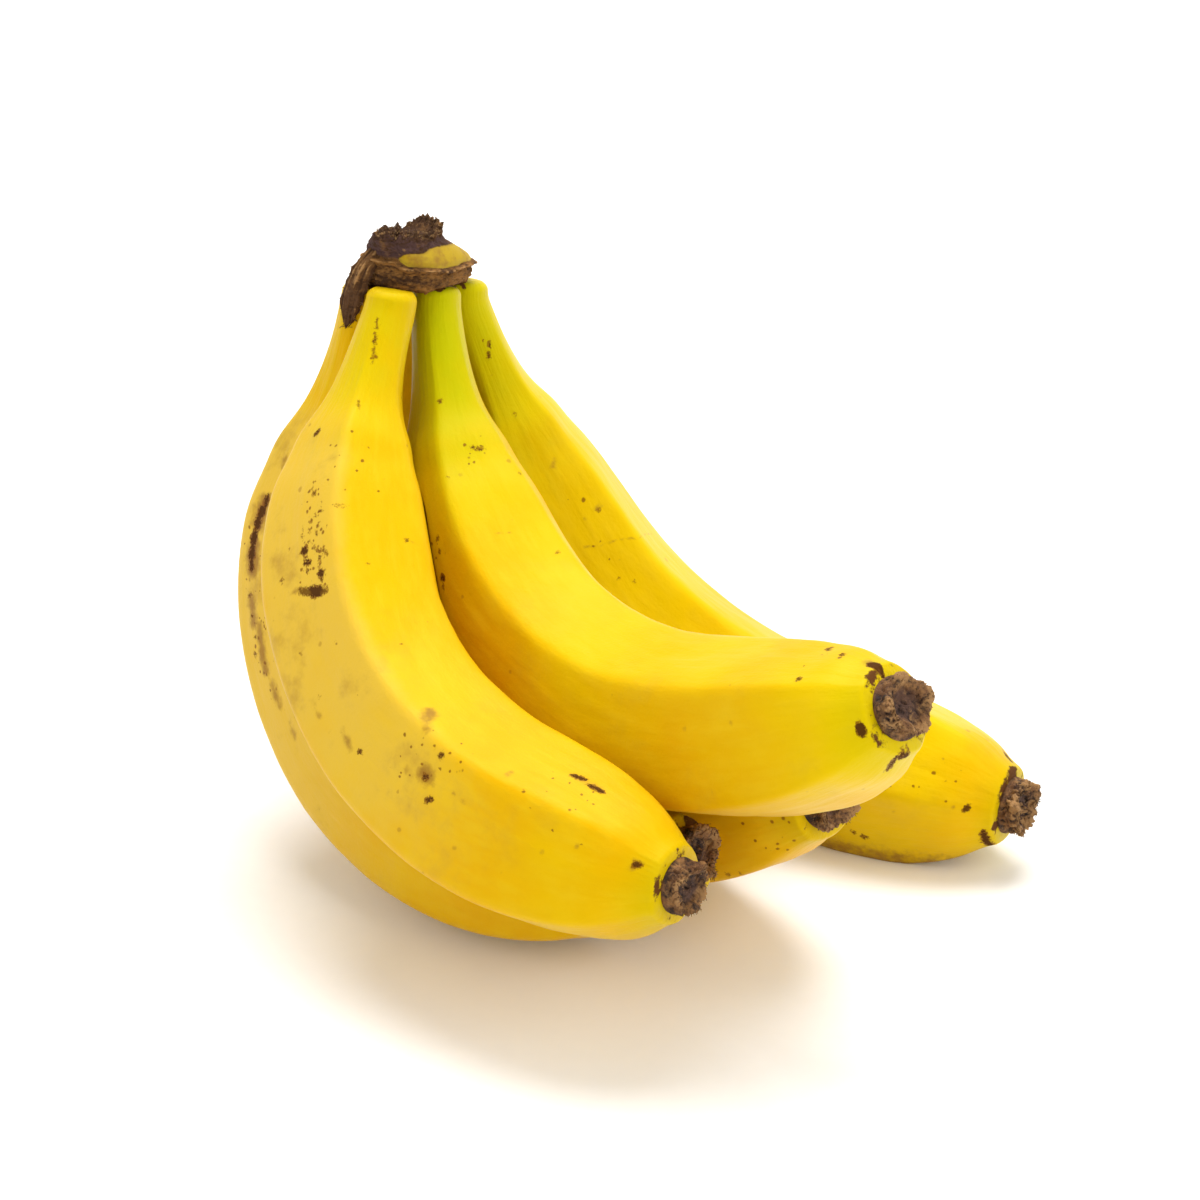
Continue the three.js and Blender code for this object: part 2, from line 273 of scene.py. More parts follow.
def finger_tree():
    """A whole finger from its numbers, with its places along and round it kept on every point."""
    tree, b, given = new_group("grown finger", "GeometryNodeTree", {
        SHAPE: ["Geometry"], WHOLE: ["Rings", "Sides"], VECTOR: ["Neck", "Square", "Leave", "Reach"],
        FLOAT: ["Square Length", "Length", "Bend", "Turn", "Girth", "Roll", "Lumps", "Seed", "Tip"],
        FINISH: ["Peel"]}, {SHAPE: ["Geometry"]})
    length = given["Length"]

    def run_at(share):
        inputs = {"Share": share, "Square Share": b.over(given["Square Length"], length)}
        inputs.update({name: given[name] for name in ("Leave", "Reach", "Bend", "Turn", "Square")})
        return b.add("GeometryNodeGroup", inputs, node_tree=run_group).outputs[0]

    # The centre line: one short step after another, each the way the finger runs there.
    steps = float(LINE_STEPS)
    line = b.step("MeshLine", Count=LINE_STEPS + 1)
    index = b.step("InputIndex")
    stride = b.scaled(run_at(b.over(b.plus(index, 0.5), steps)), b.over(length, steps))
    walked = b.add("GeometryNodeAccumulateField", data_type="FLOAT_VECTOR")
    tree.links.new(stride, walked.inputs[0])
    place = b.moved(given["Neck"], walked.outputs["Trailing"])
    line = b.step("MeshToCurve", Mesh=b.step("SetPosition", Geometry=line, Position=place))

    # A flat grid, rings one way and sides the other, is rolled up round it.
    grid = b.step("MeshGrid", Size_X=1.0, Size_Y=1.0, Vertices_X=b.plus(given["Rings"], 1),
                  Vertices_Y=b.plus(given["Sides"], 1))
    flat = b.parts(b.step("InputPosition"))
    u, v = b.plus(flat[0], 0.5), b.plus(flat[1], 0.5)
    peel_length = b.minus(length, CAP_LENGTH)
    crowding = b.times(b.math("SINE", b.times(u, math.tau)), CROWDING / math.tau)
    along = b.times(peel_length, b.minus(u, crowding))
    left = b.minus(peel_length, along)
    angle = b.times(v, math.tau)
    cosine, sine = b.math("COSINE", angle), b.math("SINE", angle)

    def corner(distance, size):
        """How far a rounded corner stands in at a distance from its end."""
        short = b.minus(size, b.math("MINIMUM", distance, size))
        rest = b.minus(size * size, b.times(short, short))
        return b.minus(size, b.math("SQRT", b.math("MAXIMUM", rest, 0.0)))

    # The section is round at the neck and the tip, and five-sided between them.
    radius = b.times(given["Girth"], outline_curve(b, b.over(along, length), PEEL_OUTLINE))
    narrowing = b.times(b.minus(1.0, given["Tip"]), b.smooth(left, TIP_TAPER, 0.0))
    radius = b.times(radius, b.minus(1.0, narrowing))
    radius = b.minus(radius, b.plus(corner(along, NECK_CORNER), corner(left, TIP_CORNER)))
    past_neck = b.times(b.smooth(along, -2.0, 30.0), 0.75)
    on_body = b.times(b.smooth(along, 10.0, 60.0), 0.25)
    near_tip = b.times(b.smooth(left, 20.0, 0.0), 0.7)
    roundness = b.plus(b.minus(b.minus(1.0, past_neck), on_body), near_tip)
    section = five_sided(b, b.minus(angle, given["Roll"]))
    shape = b.plus(section, b.times(b.minus(1.0, section), roundness))

    # Slow unevenness, longer along the finger than round it.
    uneven_at = b.joined(b.times_plus(along, LUMP_STRETCH, given["Seed"]), cosine, sine)
    uneven = b.minus(b.noise(uneven_at, LUMP_SCALE, 2.0, 0.5), 0.5)
    lumps = b.times(b.times(uneven, given["Lumps"]), b.smooth(along, 0.0, 25.0))
    radius = b.times(radius, b.plus(shape, lumps))

    # The first and the last ring close to a point.
    inside = b.times(b.math("GREATER_THAN", u, 1e-4), b.math("LESS_THAN", u, 0.9999))
    radius = b.times(radius, inside)

    centre = b.add("GeometryNodeSampleCurve", {"Curves": line, "Length": along},
                   mode="LENGTH").outputs["Position"]
    run = run_at(b.over(along, length))
    width = b.unit(b.cross(given["Leave"], given["Reach"]))
    inner = b.unit(b.cross(width, run))
    side = b.cross(inner, run)
    skin = b.moved(b.scaled(inner, b.times(radius, cosine)), b.scaled(side, b.times(radius, sine)))
    skin = b.scaled(b.moved(centre, skin), MM)

    mesh = grid
    for name, kind, value in (("along", "FLOAT", along), ("left", "FLOAT", left),
                              ("facing", "FLOAT_VECTOR", b.joined(cosine, sine))):
        inputs = {"Geometry": mesh, "Name": name, "Value": value}
        mesh = b.add("GeometryNodeStoreNamedAttribute", inputs, data_type=kind).outputs[0]
    mesh = b.step("SetPosition", Geometry=mesh, Position=skin)
    mesh = b.step("MergeByDistance", Geometry=mesh, Distance=WELD)
    finish_growth(b, mesh, given["Peel"])
    return tree


def finish_growth(b, mesh, material):
    """The last steps of every tree that makes a piece."""
    mesh = b.step("RealizeInstances", Geometry=mesh)
    b.add("NodeGroupOutput", {"Geometry": b.step("SetMaterial", Geometry=mesh, Material=material)})


def grown(name, tree, values, start=None):
    """A piece made by a node tree and turned into a plain mesh."""
    piece = bpy.data.objects.new(name, start or bpy.data.meshes.new(name))
    bpy.context.scene.collection.objects.link(piece)
    modifier = piece.modifiers.new("growth", "NODES")
    modifier.node_group = tree
    for item in tree.interface.items_tree:
        if item.in_out == "INPUT" and item.name in values:
            modifier[item.identifier] = values[item.name]
    graph = bpy.context.evaluated_depsgraph_get()
    mesh = bpy.data.meshes.new_from_object(
        piece.evaluated_get(graph), preserve_all_data_layers=True, depsgraph=graph)
    piece.modifiers.clear()
    piece.data = mesh
    mesh.name = name
    mesh.shade_smooth()
    return piece


def points_of(mesh):
    flat = np.zeros(len(mesh.vertices) * 3)
    mesh.vertices.foreach_get("co", flat)
    return flat.reshape(-1, 3)


def store(mesh, **fields):
    """Keep one number for each point under each name, for the finishes and the fibres to read."""
    for name, values in fields.items():
        layer = mesh.attributes.get(name) or mesh.attributes.new(name, "FLOAT", "POINT")
        layer.data.foreach_set("value", np.ascontiguousarray(values, dtype=np.float32).ravel())


def read(mesh, name, size=1):
    flat = np.zeros(len(mesh.vertices) * size, np.float32)
    mesh.attributes[name].data.foreach_get("value" if size == 1 else "vector", flat)
    return flat.reshape(-1, size) if size > 1 else flat


def tree_of(mesh):
    return BVHTree.FromPolygons([tuple(p) for p in points_of(mesh)],
                                [tuple(f.vertices) for f in mesh.polygons])


def give_way(mesh, neighbours):
    """Peel that would run into a neighbour, or below the table, is pressed back to its surface."""
    points, gap = points_of(mesh), GAP * MM
    for neighbour in neighbours:
        for i, point in enumerate(points):
            near, normal, _, distance = neighbour.find_nearest(point, PRESS_DEPTH * MM)
            if near is not None and ((Vector(point) - near).dot(normal) < 0 or distance < gap):
                points[i] = near + normal * gap
    points[:, 2] = np.maximum(points[:, 2], 0)
    mesh.vertices.foreach_set("co", points.ravel())
    mesh.update()


# ------------ finishes


def freckle_group():
    """Small dark dots, some places thick and others bare."""
    tree, b, given = new_group("freckles", "ShaderNodeTree", {
        VECTOR: ["Place"], FLOAT: ["Spacing", "Size", "Cover"]}, {FLOAT: ["Mask"]})
    jitter = b.noise(given["Place"], 900.0, 1.0, 0.5, "Color")
    place = b.moved(given["Place"], b.scaled(jitter, 0.0006))
    cells = b.add("ShaderNodeTexVoronoi", {"Vector": place, "Scale": given["Spacing"]})
    chance = b.add("ShaderNodeSeparateColor", {0: cells.outputs["Color"]}).outputs
    size = b.times(given["Size"], b.plus(chance[1], 0.35))
    dot = b.smooth(cells.outputs["Distance"], size, b.times(size, 0.45))
    chosen = b.math("LESS_THAN", chance[0], given["Cover"])
    b.add("NodeGroupOutput", {"Mask": b.times(dot, chosen)})
    return tree


def ragged_group():
    """A soft field turned into a patch with a ragged edge."""
    tree, b, given = new_group("ragged edge", "ShaderNodeTree", {
        FLOAT: ["Field", "Grain", "Raggedness", "Edge"], VECTOR: ["Place"]}, {FLOAT: ["Mask"]})
    rough = b.minus(b.noise(given["Place"], given["Grain"], 3.0, 0.6), 0.5)
    field = b.times_plus(rough, given["Raggedness"], given["Field"])
    b.add("NodeGroupOutput", {"Mask": b.smooth(field, 0.0, given["Edge"])})
    return tree


def cork_group():
    """Corky bark, crumbly all over: dark in its hollows and tan along its crests, a painted shade and a
    painted highlight that follow the raised bark, over tones that differ at random.
    """
    tree, b, given = new_group("cork", "ShaderNodeTree", {
        VECTOR: ["Place"], FLOAT: ["Crest", "Grain"], COLOUR: ["Base", "Deep", "Edge"]},
        {COLOUR: ["Colour"], FLOAT: ["Height"]})
    grain = b.noise(given["Place"], given["Grain"], 5.0, 0.7)
    coarse = b.noise(given["Place"], b.times(given["Grain"], 0.27), 3.0, 0.6)
    crest = b.times_plus(b.minus(grain, 0.5), 1.7, given["Crest"])
    # Raised bark gets a painted highlight in the edge colour, sunken bark a painted shade in the deep
    # colour.
    colour = b.coated(
        given["Deep"], (b.smooth(b.plus(grain, coarse), 0.78, 1.12), given["Base"]),
        (b.smooth(crest, 0.12, 0.75, 0.0, 0.9), given["Edge"]),
        (b.smooth(crest, -0.3, -0.75, 0.0, 0.85), given["Deep"]))
    b.add("NodeGroupOutput", {"Colour": colour, "Height": b.times_plus(coarse, 0.6, grain)})
    return tree


def finish(name, colour, **constants):
    """A new material: its bench, its shader and its object coordinates."""
    material = bpy.data.materials.new(name)
    material.use_nodes = True
    material.diffuse_color = colour
    shader = material.node_tree.nodes["Principled BSDF"]
    shader.inputs["Base Color"].default_value = colour
    for key, value in spaced(constants).items():
        shader.inputs[key].default_value = value
    b = Bench(material.node_tree)
    place = b.add("ShaderNodeTexCoord").outputs["Object"]
    return material, b, shader, place


def feed(b, shader, **values):
    for key, value in spaced(values).items():
        b.tree.links.new(value, shader.inputs[key])


def bump(b, height, strength, depth):
    inputs = {"Height": height, "Strength": strength, "Distance": depth}
    return b.add("ShaderNodeBump", inputs).outputs[0]


def patch_of(b, place, field, grain, raggedness, edge):
    """Where a field of millimetres is above nought, with an edge as ragged and as soft as asked."""
    return b.group(ragged, Field=field, Place=place, Grain=grain, Raggedness=raggedness, Edge=edge)[0]


def rgba(red, green, blue):
    return (red, green, blue, 1.0)


YELLOW, WARM_YELLOW = rgba(0.66, 0.445, 0.001), rgba(0.64, 0.35, 0.001)
# Paler, greyer yellow: a painted sheen of reflected light on some facets.
SHEEN_YELLOW = rgba(0.63, 0.405, 0.042)
PALE_YELLOW, NECK_GREEN = rgba(0.68, 0.46, 0.012), rgba(0.36, 0.4, 0.001)
BRUISE, FRECKLE = rgba(0.25, 0.112, 0.016), rgba(0.3, 0.14, 0.012)
DARK_MARK, DRY_SKIN = rgba(0.05, 0.014, 0.004), rgba(0.1, 0.035, 0.01)
RUST = rgba(0.17, 0.052, 0.003)
BARK, BARK_DARK = rgba(0.23, 0.105, 0.024), rgba(0.05, 0.02, 0.006)
BARK_TAN, BARK_PURPLE = rgba(0.35, 0.185, 0.064), rgba(0.07, 0.034, 0.03)
SCAR_BROWN, PIT_BLACK = rgba(0.1, 0.05, 0.034), rgba(0.022, 0.009, 0.005)
CAP_BROWN, CAP_TAN = rgba(0.145, 0.06, 0.019), rgba(0.29, 0.14, 0.044)
TORN_BROWN = rgba(0.045, 0.018, 0.005)
PATCH_YELLOW, PATCH_BROWN = rgba(0.38, 0.25, 0.006), rgba(0.22, 0.105, 0.012)
FIBRE_DARK, FIBRE_PALE = rgba(0.05, 0.02, 0.006), rgba(0.29, 0.165, 0.062)
CARD, CARD_DULL, CARD_BRIGHT = (rgba(white, white, white) for white in (0.88, 0.882, 0.892))
# Painted light from the card itself, warm and dim near the bunch and white further off.
PAINTED_GLOW_NEAR, PAINTED_GLOW_FAR = rgba(0.055, 0.047, 0.025), rgba(0.5, 0.5, 0.5)

# How many waves of noise, or spots, go to a metre.
DRIFT, BLOTCH, MOTTLE, PORES = 24.0, 62.0, 130.0, 1500.0
FRECKLE_SPACING, SPECK_SPACING = 190.0, 900.0
BARK_GRAIN, CAP_GRAIN = 820.0, 900.0


def peel_finish():
    material, b, shader, place = finish(
        "banana peel", YELLOW, Specular_IOR_Level=0.2, Specular_Tint=(1.0, 0.72, 0.04, 1.0))
    facing = b.attribute("facing", "Vector")
    along, left, green, dry, spot, tone, stain, pepper, dull, warm = (b.attribute(name) for name in (
        "along", "left", "green", "dry", "spot", "tone", "stain", "pepper", "dull", "warm"))
    drift, mottle = b.noise(place, DRIFT, 3.0, 0.5), b.noise(place, MOTTLE, 4.0, 0.6)
    blotch = b.noise(place, BLOTCH, 5.0, 0.65)
    streaks = b.noise(b.moved(b.scaled(facing, 4.0), b.joined(z=b.times(along, 0.05))), 2.2, 3.0, 0.55)
    sheen_mix = b.times_plus(b.minus(blotch, 0.5), 1.3, dull)
    unripe = b.times_plus(b.minus(mottle, 0.5), 0.25, green)
    bruise = patch_of(b, place, stain, 480.0, 3.4, 2.4)
    dots = b.group(freckles, Place=place, Spacing=FRECKLE_SPACING, Size=0.12, Cover=0.3)[0]
    specks = b.group(freckles, Place=place, Spacing=SPECK_SPACING, Size=0.42, Cover=pepper)[0]
    halo = patch_of(b, place, b.plus(spot, 0.25), 1500.0, 2.2, 0.45)
    marks = patch_of(b, place, b.minus(spot, 0.12), 2300.0, 2.4, 0.25)
    husk = patch_of(b, place, dry, 620.0, 2.2, 0.4)
    colour = b.coated(
        YELLOW,
        # Broad drifts of warmer yellow, pushed further on fingers in shade as a painted warmth of light
        # bounced between them, and faint streaks that follow the finger.
        (b.smooth(b.plus(drift, warm), 0.3, 0.75), WARM_YELLOW),
        (b.smooth(b.plus(streaks, mottle), 0.8, 1.4, 0.0, 0.4), PALE_YELLOW),
        # The sheen facets: a painted sheen of paler, duller yellow, with soft brown blotches that are
        # stronger on the outer finger, where they also paint shade.
        (b.smooth(sheen_mix, 0.1, 1.15, 0.0, 0.95), SHEEN_YELLOW),
        (b.times(b.smooth(blotch, 0.52, 0.74), b.times_plus(dull, 0.38, 0.1)), BRUISE),
        # Unripe green where the finger was last to turn, with a breath of it round the blossom end.
        (b.smooth(unripe, 0.02, 1.0, 0.0, 0.9), NECK_GREEN),
        (b.smooth(b.times_plus(b.minus(drift, 0.5), 12.0, left), 9.0, 0.5, 0.0, 0.28), NECK_GREEN),
        # Bruises, with painted contact shade where the peel lies near the table, then freckles, specks
        # and the dark marks, each with a rusty edge.
        (b.times(bruise, 0.85), BRUISE),
        (b.times(dots, 0.5), FRECKLE),
        (b.times(specks, 0.85), RUST),
        (b.times(halo, b.times_plus(tone, 0.5, 0.42)), RUST),
        (b.times(marks, tone), DARK_MARK),
        # Dry skin under the crown and round the blossom end.
        (husk, DRY_SKIN))

    # Pores and streaks stand out, dead skin is sunken and rough.
    dead = b.math("MAXIMUM", marks, husk)
    pores = b.noise(place, PORES, 2.0, 0.5)
    height = b.times_plus(streaks, 0.8, b.times(b.plus(pores, mottle), 0.3))
    height = b.minus(height, b.times(dead, 0.5))
    rough = b.times_plus(dead, 0.35, b.times_plus(drift, 0.16, 0.36))
    feed(b, shader, Base_Color=colour, Roughness=rough, Normal=bump(b, height, 0.45, 0.0004))
    return material


def bark_finish():
    """Crown bark: layered collar, purplish wall, torn stump and one patch of fresh skin."""
    material, b, shader, place = finish("crown bark", BARK, Specular_IOR_Level=0.22)
    crest, wall, torn, patch = (b.attribute(name) for name in ("crest", "wall", "torn", "patch"))
    purple = b.noise(place, 230.0, 3.0, 0.6)
    base = b.coated(
        BARK, (b.times(wall, b.smooth(purple, 0.2, 0.46)), BARK_PURPLE),
        (b.times(torn, b.smooth(purple, 0.25, 0.5, 0.6, 1.0)), TORN_BROWN))
    layered = b.vector("MULTIPLY", place, (0.75, 0.75, 1.7))
    colour, height = b.group(cork, Place=layered, Crest=crest, Base=base, Deep=BARK_DARK,
                             Edge=BARK_TAN, Grain=BARK_GRAIN)
    fresh = patch_of(b, place, patch, 420.0, 1.1, 0.35)
    worn = b.math("MAXIMUM", b.smooth(purple, 0.46, 0.68, 0.0, 0.75),
                  b.smooth(patch, 0.9, 0.1, 0.0, 0.55))
    colour = b.blend(fresh, colour, b.blend(worn, PATCH_YELLOW, PATCH_BROWN))
    height = b.times(height, b.times_plus(fresh, -0.85, 1.0))
    rough = b.times_plus(fresh, -0.26, 0.86)
    feed(b, shader, Base_Color=colour, Roughness=rough, Normal=bump(b, height, 1.0, 0.0006))
    return material


def dried_finish():
    material, b, shader, place = finish("dried blossom end", BARK_DARK, Specular_IOR_Level=0.35)
    crest, scar, side = (b.attribute(name) for name in ("crest", "scar", "side"))
    tone = b.noise(place, 330.0, 3.0, 0.6)
    base = b.coated(
        CAP_BROWN, (b.smooth(tone, 0.35, 0.65), CAP_TAN),
        (b.times(side, b.smooth(tone, 0.6, 0.4)), CAP_BROWN),
        (b.times(scar, b.smooth(tone, 0.3, 0.6, 0.55, 1.0)), SCAR_BROWN))
    colour, height = b.group(cork, Place=place, Crest=crest, Base=base, Deep=PIT_BLACK,
                             Edge=BARK_TAN, Grain=CAP_GRAIN)
    rough = b.times_plus(height, 0.15, 0.62)
    feed(b, shader, Base_Color=colour, Roughness=rough, Normal=bump(b, height, 1.0, 0.0006))
    return material


def fibre_finish():
    material, b, shader, place = finish("torn fibre", BARK_TAN, Specular_IOR_Level=0.3)
    tone = b.noise(place, 520.0, 2.0, 0.5)
    fine = b.noise(place, 3000.0, 2.0, 0.5)
    colour = b.blend(b.smooth(tone, 0.38, 0.66), FIBRE_DARK, FIBRE_PALE)
    rough = b.times_plus(fine, 0.2, 0.7)
    feed(b, shader, Base_Color=colour, Roughness=rough, Normal=bump(b, fine, 0.5, 0.0001))
    return material


def floor_finish():
    """White card that glows as a painted light: dim and warm near the bunch for yellow light bounced
    off the fruit, brighter where it runs away from the bunch.
    """
    material, b, shader, place = finish("pale table", CARD, Emission_Strength=1.0)
    fine = b.noise(place, 240.0, 3.0, 0.5)
    tone = b.blend(b.smooth(fine, 0.3, 0.7), CARD_DULL, CARD_BRIGHT)
    away = b.vector("LENGTH", place)
    painted_glow = b.blend(b.smooth(away, 0.16, 0.6), PAINTED_GLOW_NEAR, PAINTED_GLOW_FAR)
    feed(b, shader, Base_Color=tone, Emission_Color=painted_glow, Roughness=b.times_plus(fine, 0.1, 0.6))
    return material


freckles, ragged, cork = freckle_group(), ragged_group(), cork_group()
peel, bark, dried, fibre = peel_finish(), bark_finish(), dried_finish(), fibre_finish()

# ------------ fingers

run_group = run_tree()
finger_rule = finger_tree()


def tip_frame(mesh):
    """Middle of the blossom end, the way it points and the way of the hollow side."""
    points, left, facing = points_of(mesh), read(mesh, "left"), read(mesh, "facing", 3)
    near_end = (left > 1) & (left < 3)
    end = points[left < 0.02].mean(0)
    back = points[(left > 2.5) & (left < 4.5)].mean(0)
    run = Vector(end - back).normalized()
    inner = Vector(points[near_end & (facing[:, 0] > 0.97)].mean(0) - points[near_end].mean(0))
    inner = (inner - run * inner.dot(run)).normalized()
    return Vector(end), run, inner, run.cross(inner)


fingers, tips, pressed = {}, {}, {}
for seed, (name, finger) in enumerate(FINGERS.items()):
    piece = grown(f"finger_{name}_peel", finger_rule, {
        "Rings": PEEL_RINGS, "Sides": PEEL_SIDES, "Neck": on_crown(*finger["neck"], finger["rise"])[:],
        "Square": (crown_turn @ Vector((0, 0, -1)))[:], "Square Length": float(finger["square"]),
        "Leave": heading(*finger["leave"])[:], "Reach": heading(*finger["reach"])[:],
        "Length": float(finger["length"]), "Bend": finger["bend"], "Turn": float(finger["turn"]),
        "Girth": finger["girth"], "Roll": math.radians(finger["roll"]), "Lumps": LUMPS,
        "Seed": 3.7 * seed, "Tip": finger["tip"], "Peel": peel})
    tips[name] = tip_frame(piece.data)
    give_way(piece.data, pressed.values())
    pressed[name] = tree_of(piece.data)
    fingers[name] = piece

# Marks on the peel: how far along (mm), which way round (degrees), length, width (mm), tilt (degrees),
# and, for some, how strong.
DARK_MARKS = {
    "front": (
        (33.5, 248, 1.9, 0.7, -33), (45.4, 268, 0.4, 0.6, 67), (46.5, 267, 0.4, 0.4, 75),
        (47.9, 270, 0.9, 0.8, 77), (50.3, 278, 0.4, 0.4, 73), (52.3, 278, 0.9, 0.6, 62),
        (52.9, 273, 0.4, 0.6, 66), (55.1, 276, 0.2, 0.6, 41), (54, 268, 0.3, 0.6, 10),
        (55.8, 267, 0.8, 0.4, 69), (57, 274, 0.9, 0.6, 73), (56.4, 259, 0.6, 0.6, 53),
        (58.1, 266, 0.4, 0.6, 32), (59.6, 261, 2.2, 1.2, 69), (59.6, 270, 0.3, 0.6, 41),
        (60.7, 274, 1, 0.6, 62), (61.2, 280, 0.5, 0.8, 72), (62.7, 282, 0.5, 0.6, 79),
        (62.2, 263, 2.4, 0.8, 68), (62.7, 276, 1, 0.6, 67), (63.8, 275, 0.6, 0.6, 69),
        (63.9, 262, 0.8, 0.8, 68), (66.1, 275, 1.8, 1.2, 61), (67.7, 275, 0.7, 0.6, 44),
        (59.6, 257, 0.5, 0.6, 66), (57.8, 244, 0.4, 0.4, 75), (54.5, 259, 0.2, 0.4, 38),
        (63.4, 235, 1.1, 0.5, -34), (68.8, 264, 9.5, 1.2, 67, 0.6), (69.1, 267, 5, 2, 66),
        (78.4, 239, 0.5, 0.5, 0), (78.9, 213, 4.5, 0.6, 2), (84.8, 210, 7, 0.7, -8),
        (88.1, 240, 0.2, 0.5, 7), (51.9, 294, 3.5, 0.3, 86, 0.35), (102.9, 245, 1.3, 0.8, -29),
        (120.5, 284, 1.2, 0.9, -12), (119.4, 267, 1.6, 0.8, 17), (122.5, 256, 2.4, 0.7, 48),
        (147.2, 325, 3.8, 0.8, 15), (152, 324, 3.9, 0.8, 6), (167.6, 276, 0.8, 1.4, -48),
        (8.8, 287, 2.6, 0.35, 12, 0.5), (12, 292, 3, 0.4, 10, 0.6), (15.5, 298, 3.6, 0.3, 9, 0.4),
        (22.1, 22, 2.2, 0.3, 2, 0.4), (27.1, 295, 1.9, 0.3, 19, 0.4), (59.5, 342, 1.1, 0.6, 78),
        (65.6, 309, 0.4, 0.4, 62), (88.4, 314, 0.5, 0.4, 34), (94.3, 270, 0.2, 0.4, 12),
        (81.7, 273, 0.5, 0.4, 58), (40, 150, 1.2, 0.7, 20), (74, 128, 6, 0.6, -8, 0.6),
        (96, 165, 1.5, 1, 40), (128, 118, 2.2, 0.7, 10), (61, 85, 0.8, 0.6, 0),
    ),
    "outer": (
        (48.3, 243, 2.6, 1, 9), (50.6, 241, 2.5, 2.1, -33), (52.9, 239, 2.6, 1.9, -10),
        (55.9, 238, 3.3, 1.9, 0), (58.9, 238, 2.7, 1.9, 2), (61.2, 239, 2.1, 1.2, 15),
        (66.4, 238, 0.9, 0.8, 5), (70.4, 239, 0.7, 0.6, 39), (74.5, 240, 0.8, 0.6, -7),
        (77.4, 236, 1.2, 0.6, -2), (108.6, 232, 0.1, 0.5, 16), (56.5, 261, 0.1, 0.4, -19),
        (63.5, 257, 0.3, 0.4, 47), (38, 150, 1.1, 0.7, 30), (66, 176, 7, 0.7, 5, 0.6),
        (83, 122, 1.6, 1.1, -20), (92, 196, 1.3, 0.8, 15), (118, 155, 3.4, 0.8, -10),
        (131, 108, 1, 0.7, 0),
    ),
    "middle": (
        (55.6, 277, 0.9, 0.6, 32), (58.3, 274, 0.8, 0.7, 10), (63.3, 266, 1.5, 1, 5),
        (64.9, 262, 0.7, 0.6, 14), (25.7, 306, 0.7, 0.7, 3), (38.3, 337, 2.2, 0.5, 59),
        (38.6, 342, 1.7, 0.5, -56), (47.3, 5, 0.7, 0.5, -1), (72.9, 359, 0.8, 0.5, -3),
        (171.9, 307, 1.3, 0.6, -24), (176.6, 344, 1.2, 0.7, -31), (171.4, 352, 1.9, 0.6, -30),
        (44.1, 303, 0.4, 0.4, 31), (122.7, 291, 0.2, 0.4, -10), (183.3, 251, 1.8, 2.4, 0),
        (184, 343, 2.2, 3, 90), (184, 178, 3, 1, -88), (182.2, 185, 4.6, 0.7, 17),
        (50, 150, 1.2, 0.8, 0), (84, 120, 1.4, 0.9, 24), (112, 172, 5.5, 0.6, -6, 0.5),
        (150, 140, 1.1, 0.7, 40),
    ),
    "back": (
        (14.1, 330, 1.5, 0.5, -26), (16.2, 320, 1.5, 0.5, -23), (29.9, 321, 0.5, 0.5, 0),
        (57.6, 345, 0.7, 0.6, -30), (74.4, 327, 0.5, 0.5, 6), (77.7, 335, 0.8, 0.5, 1),
        (157.8, 297, 1, 0.7, -15), (177.5, 240, 7.1, 1.1, -85), (174.3, 292, 0.9, 1.3, -32),
        (150.5, 243, 0.9, 0.7, -40), (152.8, 241, 1.5, 0.7, -12), (176.4, 37, 3, 0.7, -24),
        (36, 140, 1.2, 0.7, 12), (58, 118, 5, 0.6, 8, 0.6), (70, 182, 1.6, 1, -30),
        (96, 132, 2.6, 1, 15),
        (104, 205, 1.1, 0.8, 0), (136, 110, 1.3, 0.7, -12),
    ),
    "under": (
        (189.6, 223, 0.7, 0.5, -36), (192.3, 221, 0.4, 0.5, -45), (210.9, 260, 2.4, 0.8, -90),
        (210.8, 164, 0.5, 0.8, 88), (52, 172, 1.3, 0.8, 10), (74, 196, 8, 0.8, 4, 0.65),
        (88, 150, 2, 1.2, -24), (101, 214, 1.2, 0.8, 0), (126, 168, 3, 0.8, 12),
        (147, 120, 1.4, 0.9, 30), (63, 240, 1, 0.7, 0),
    ),
}
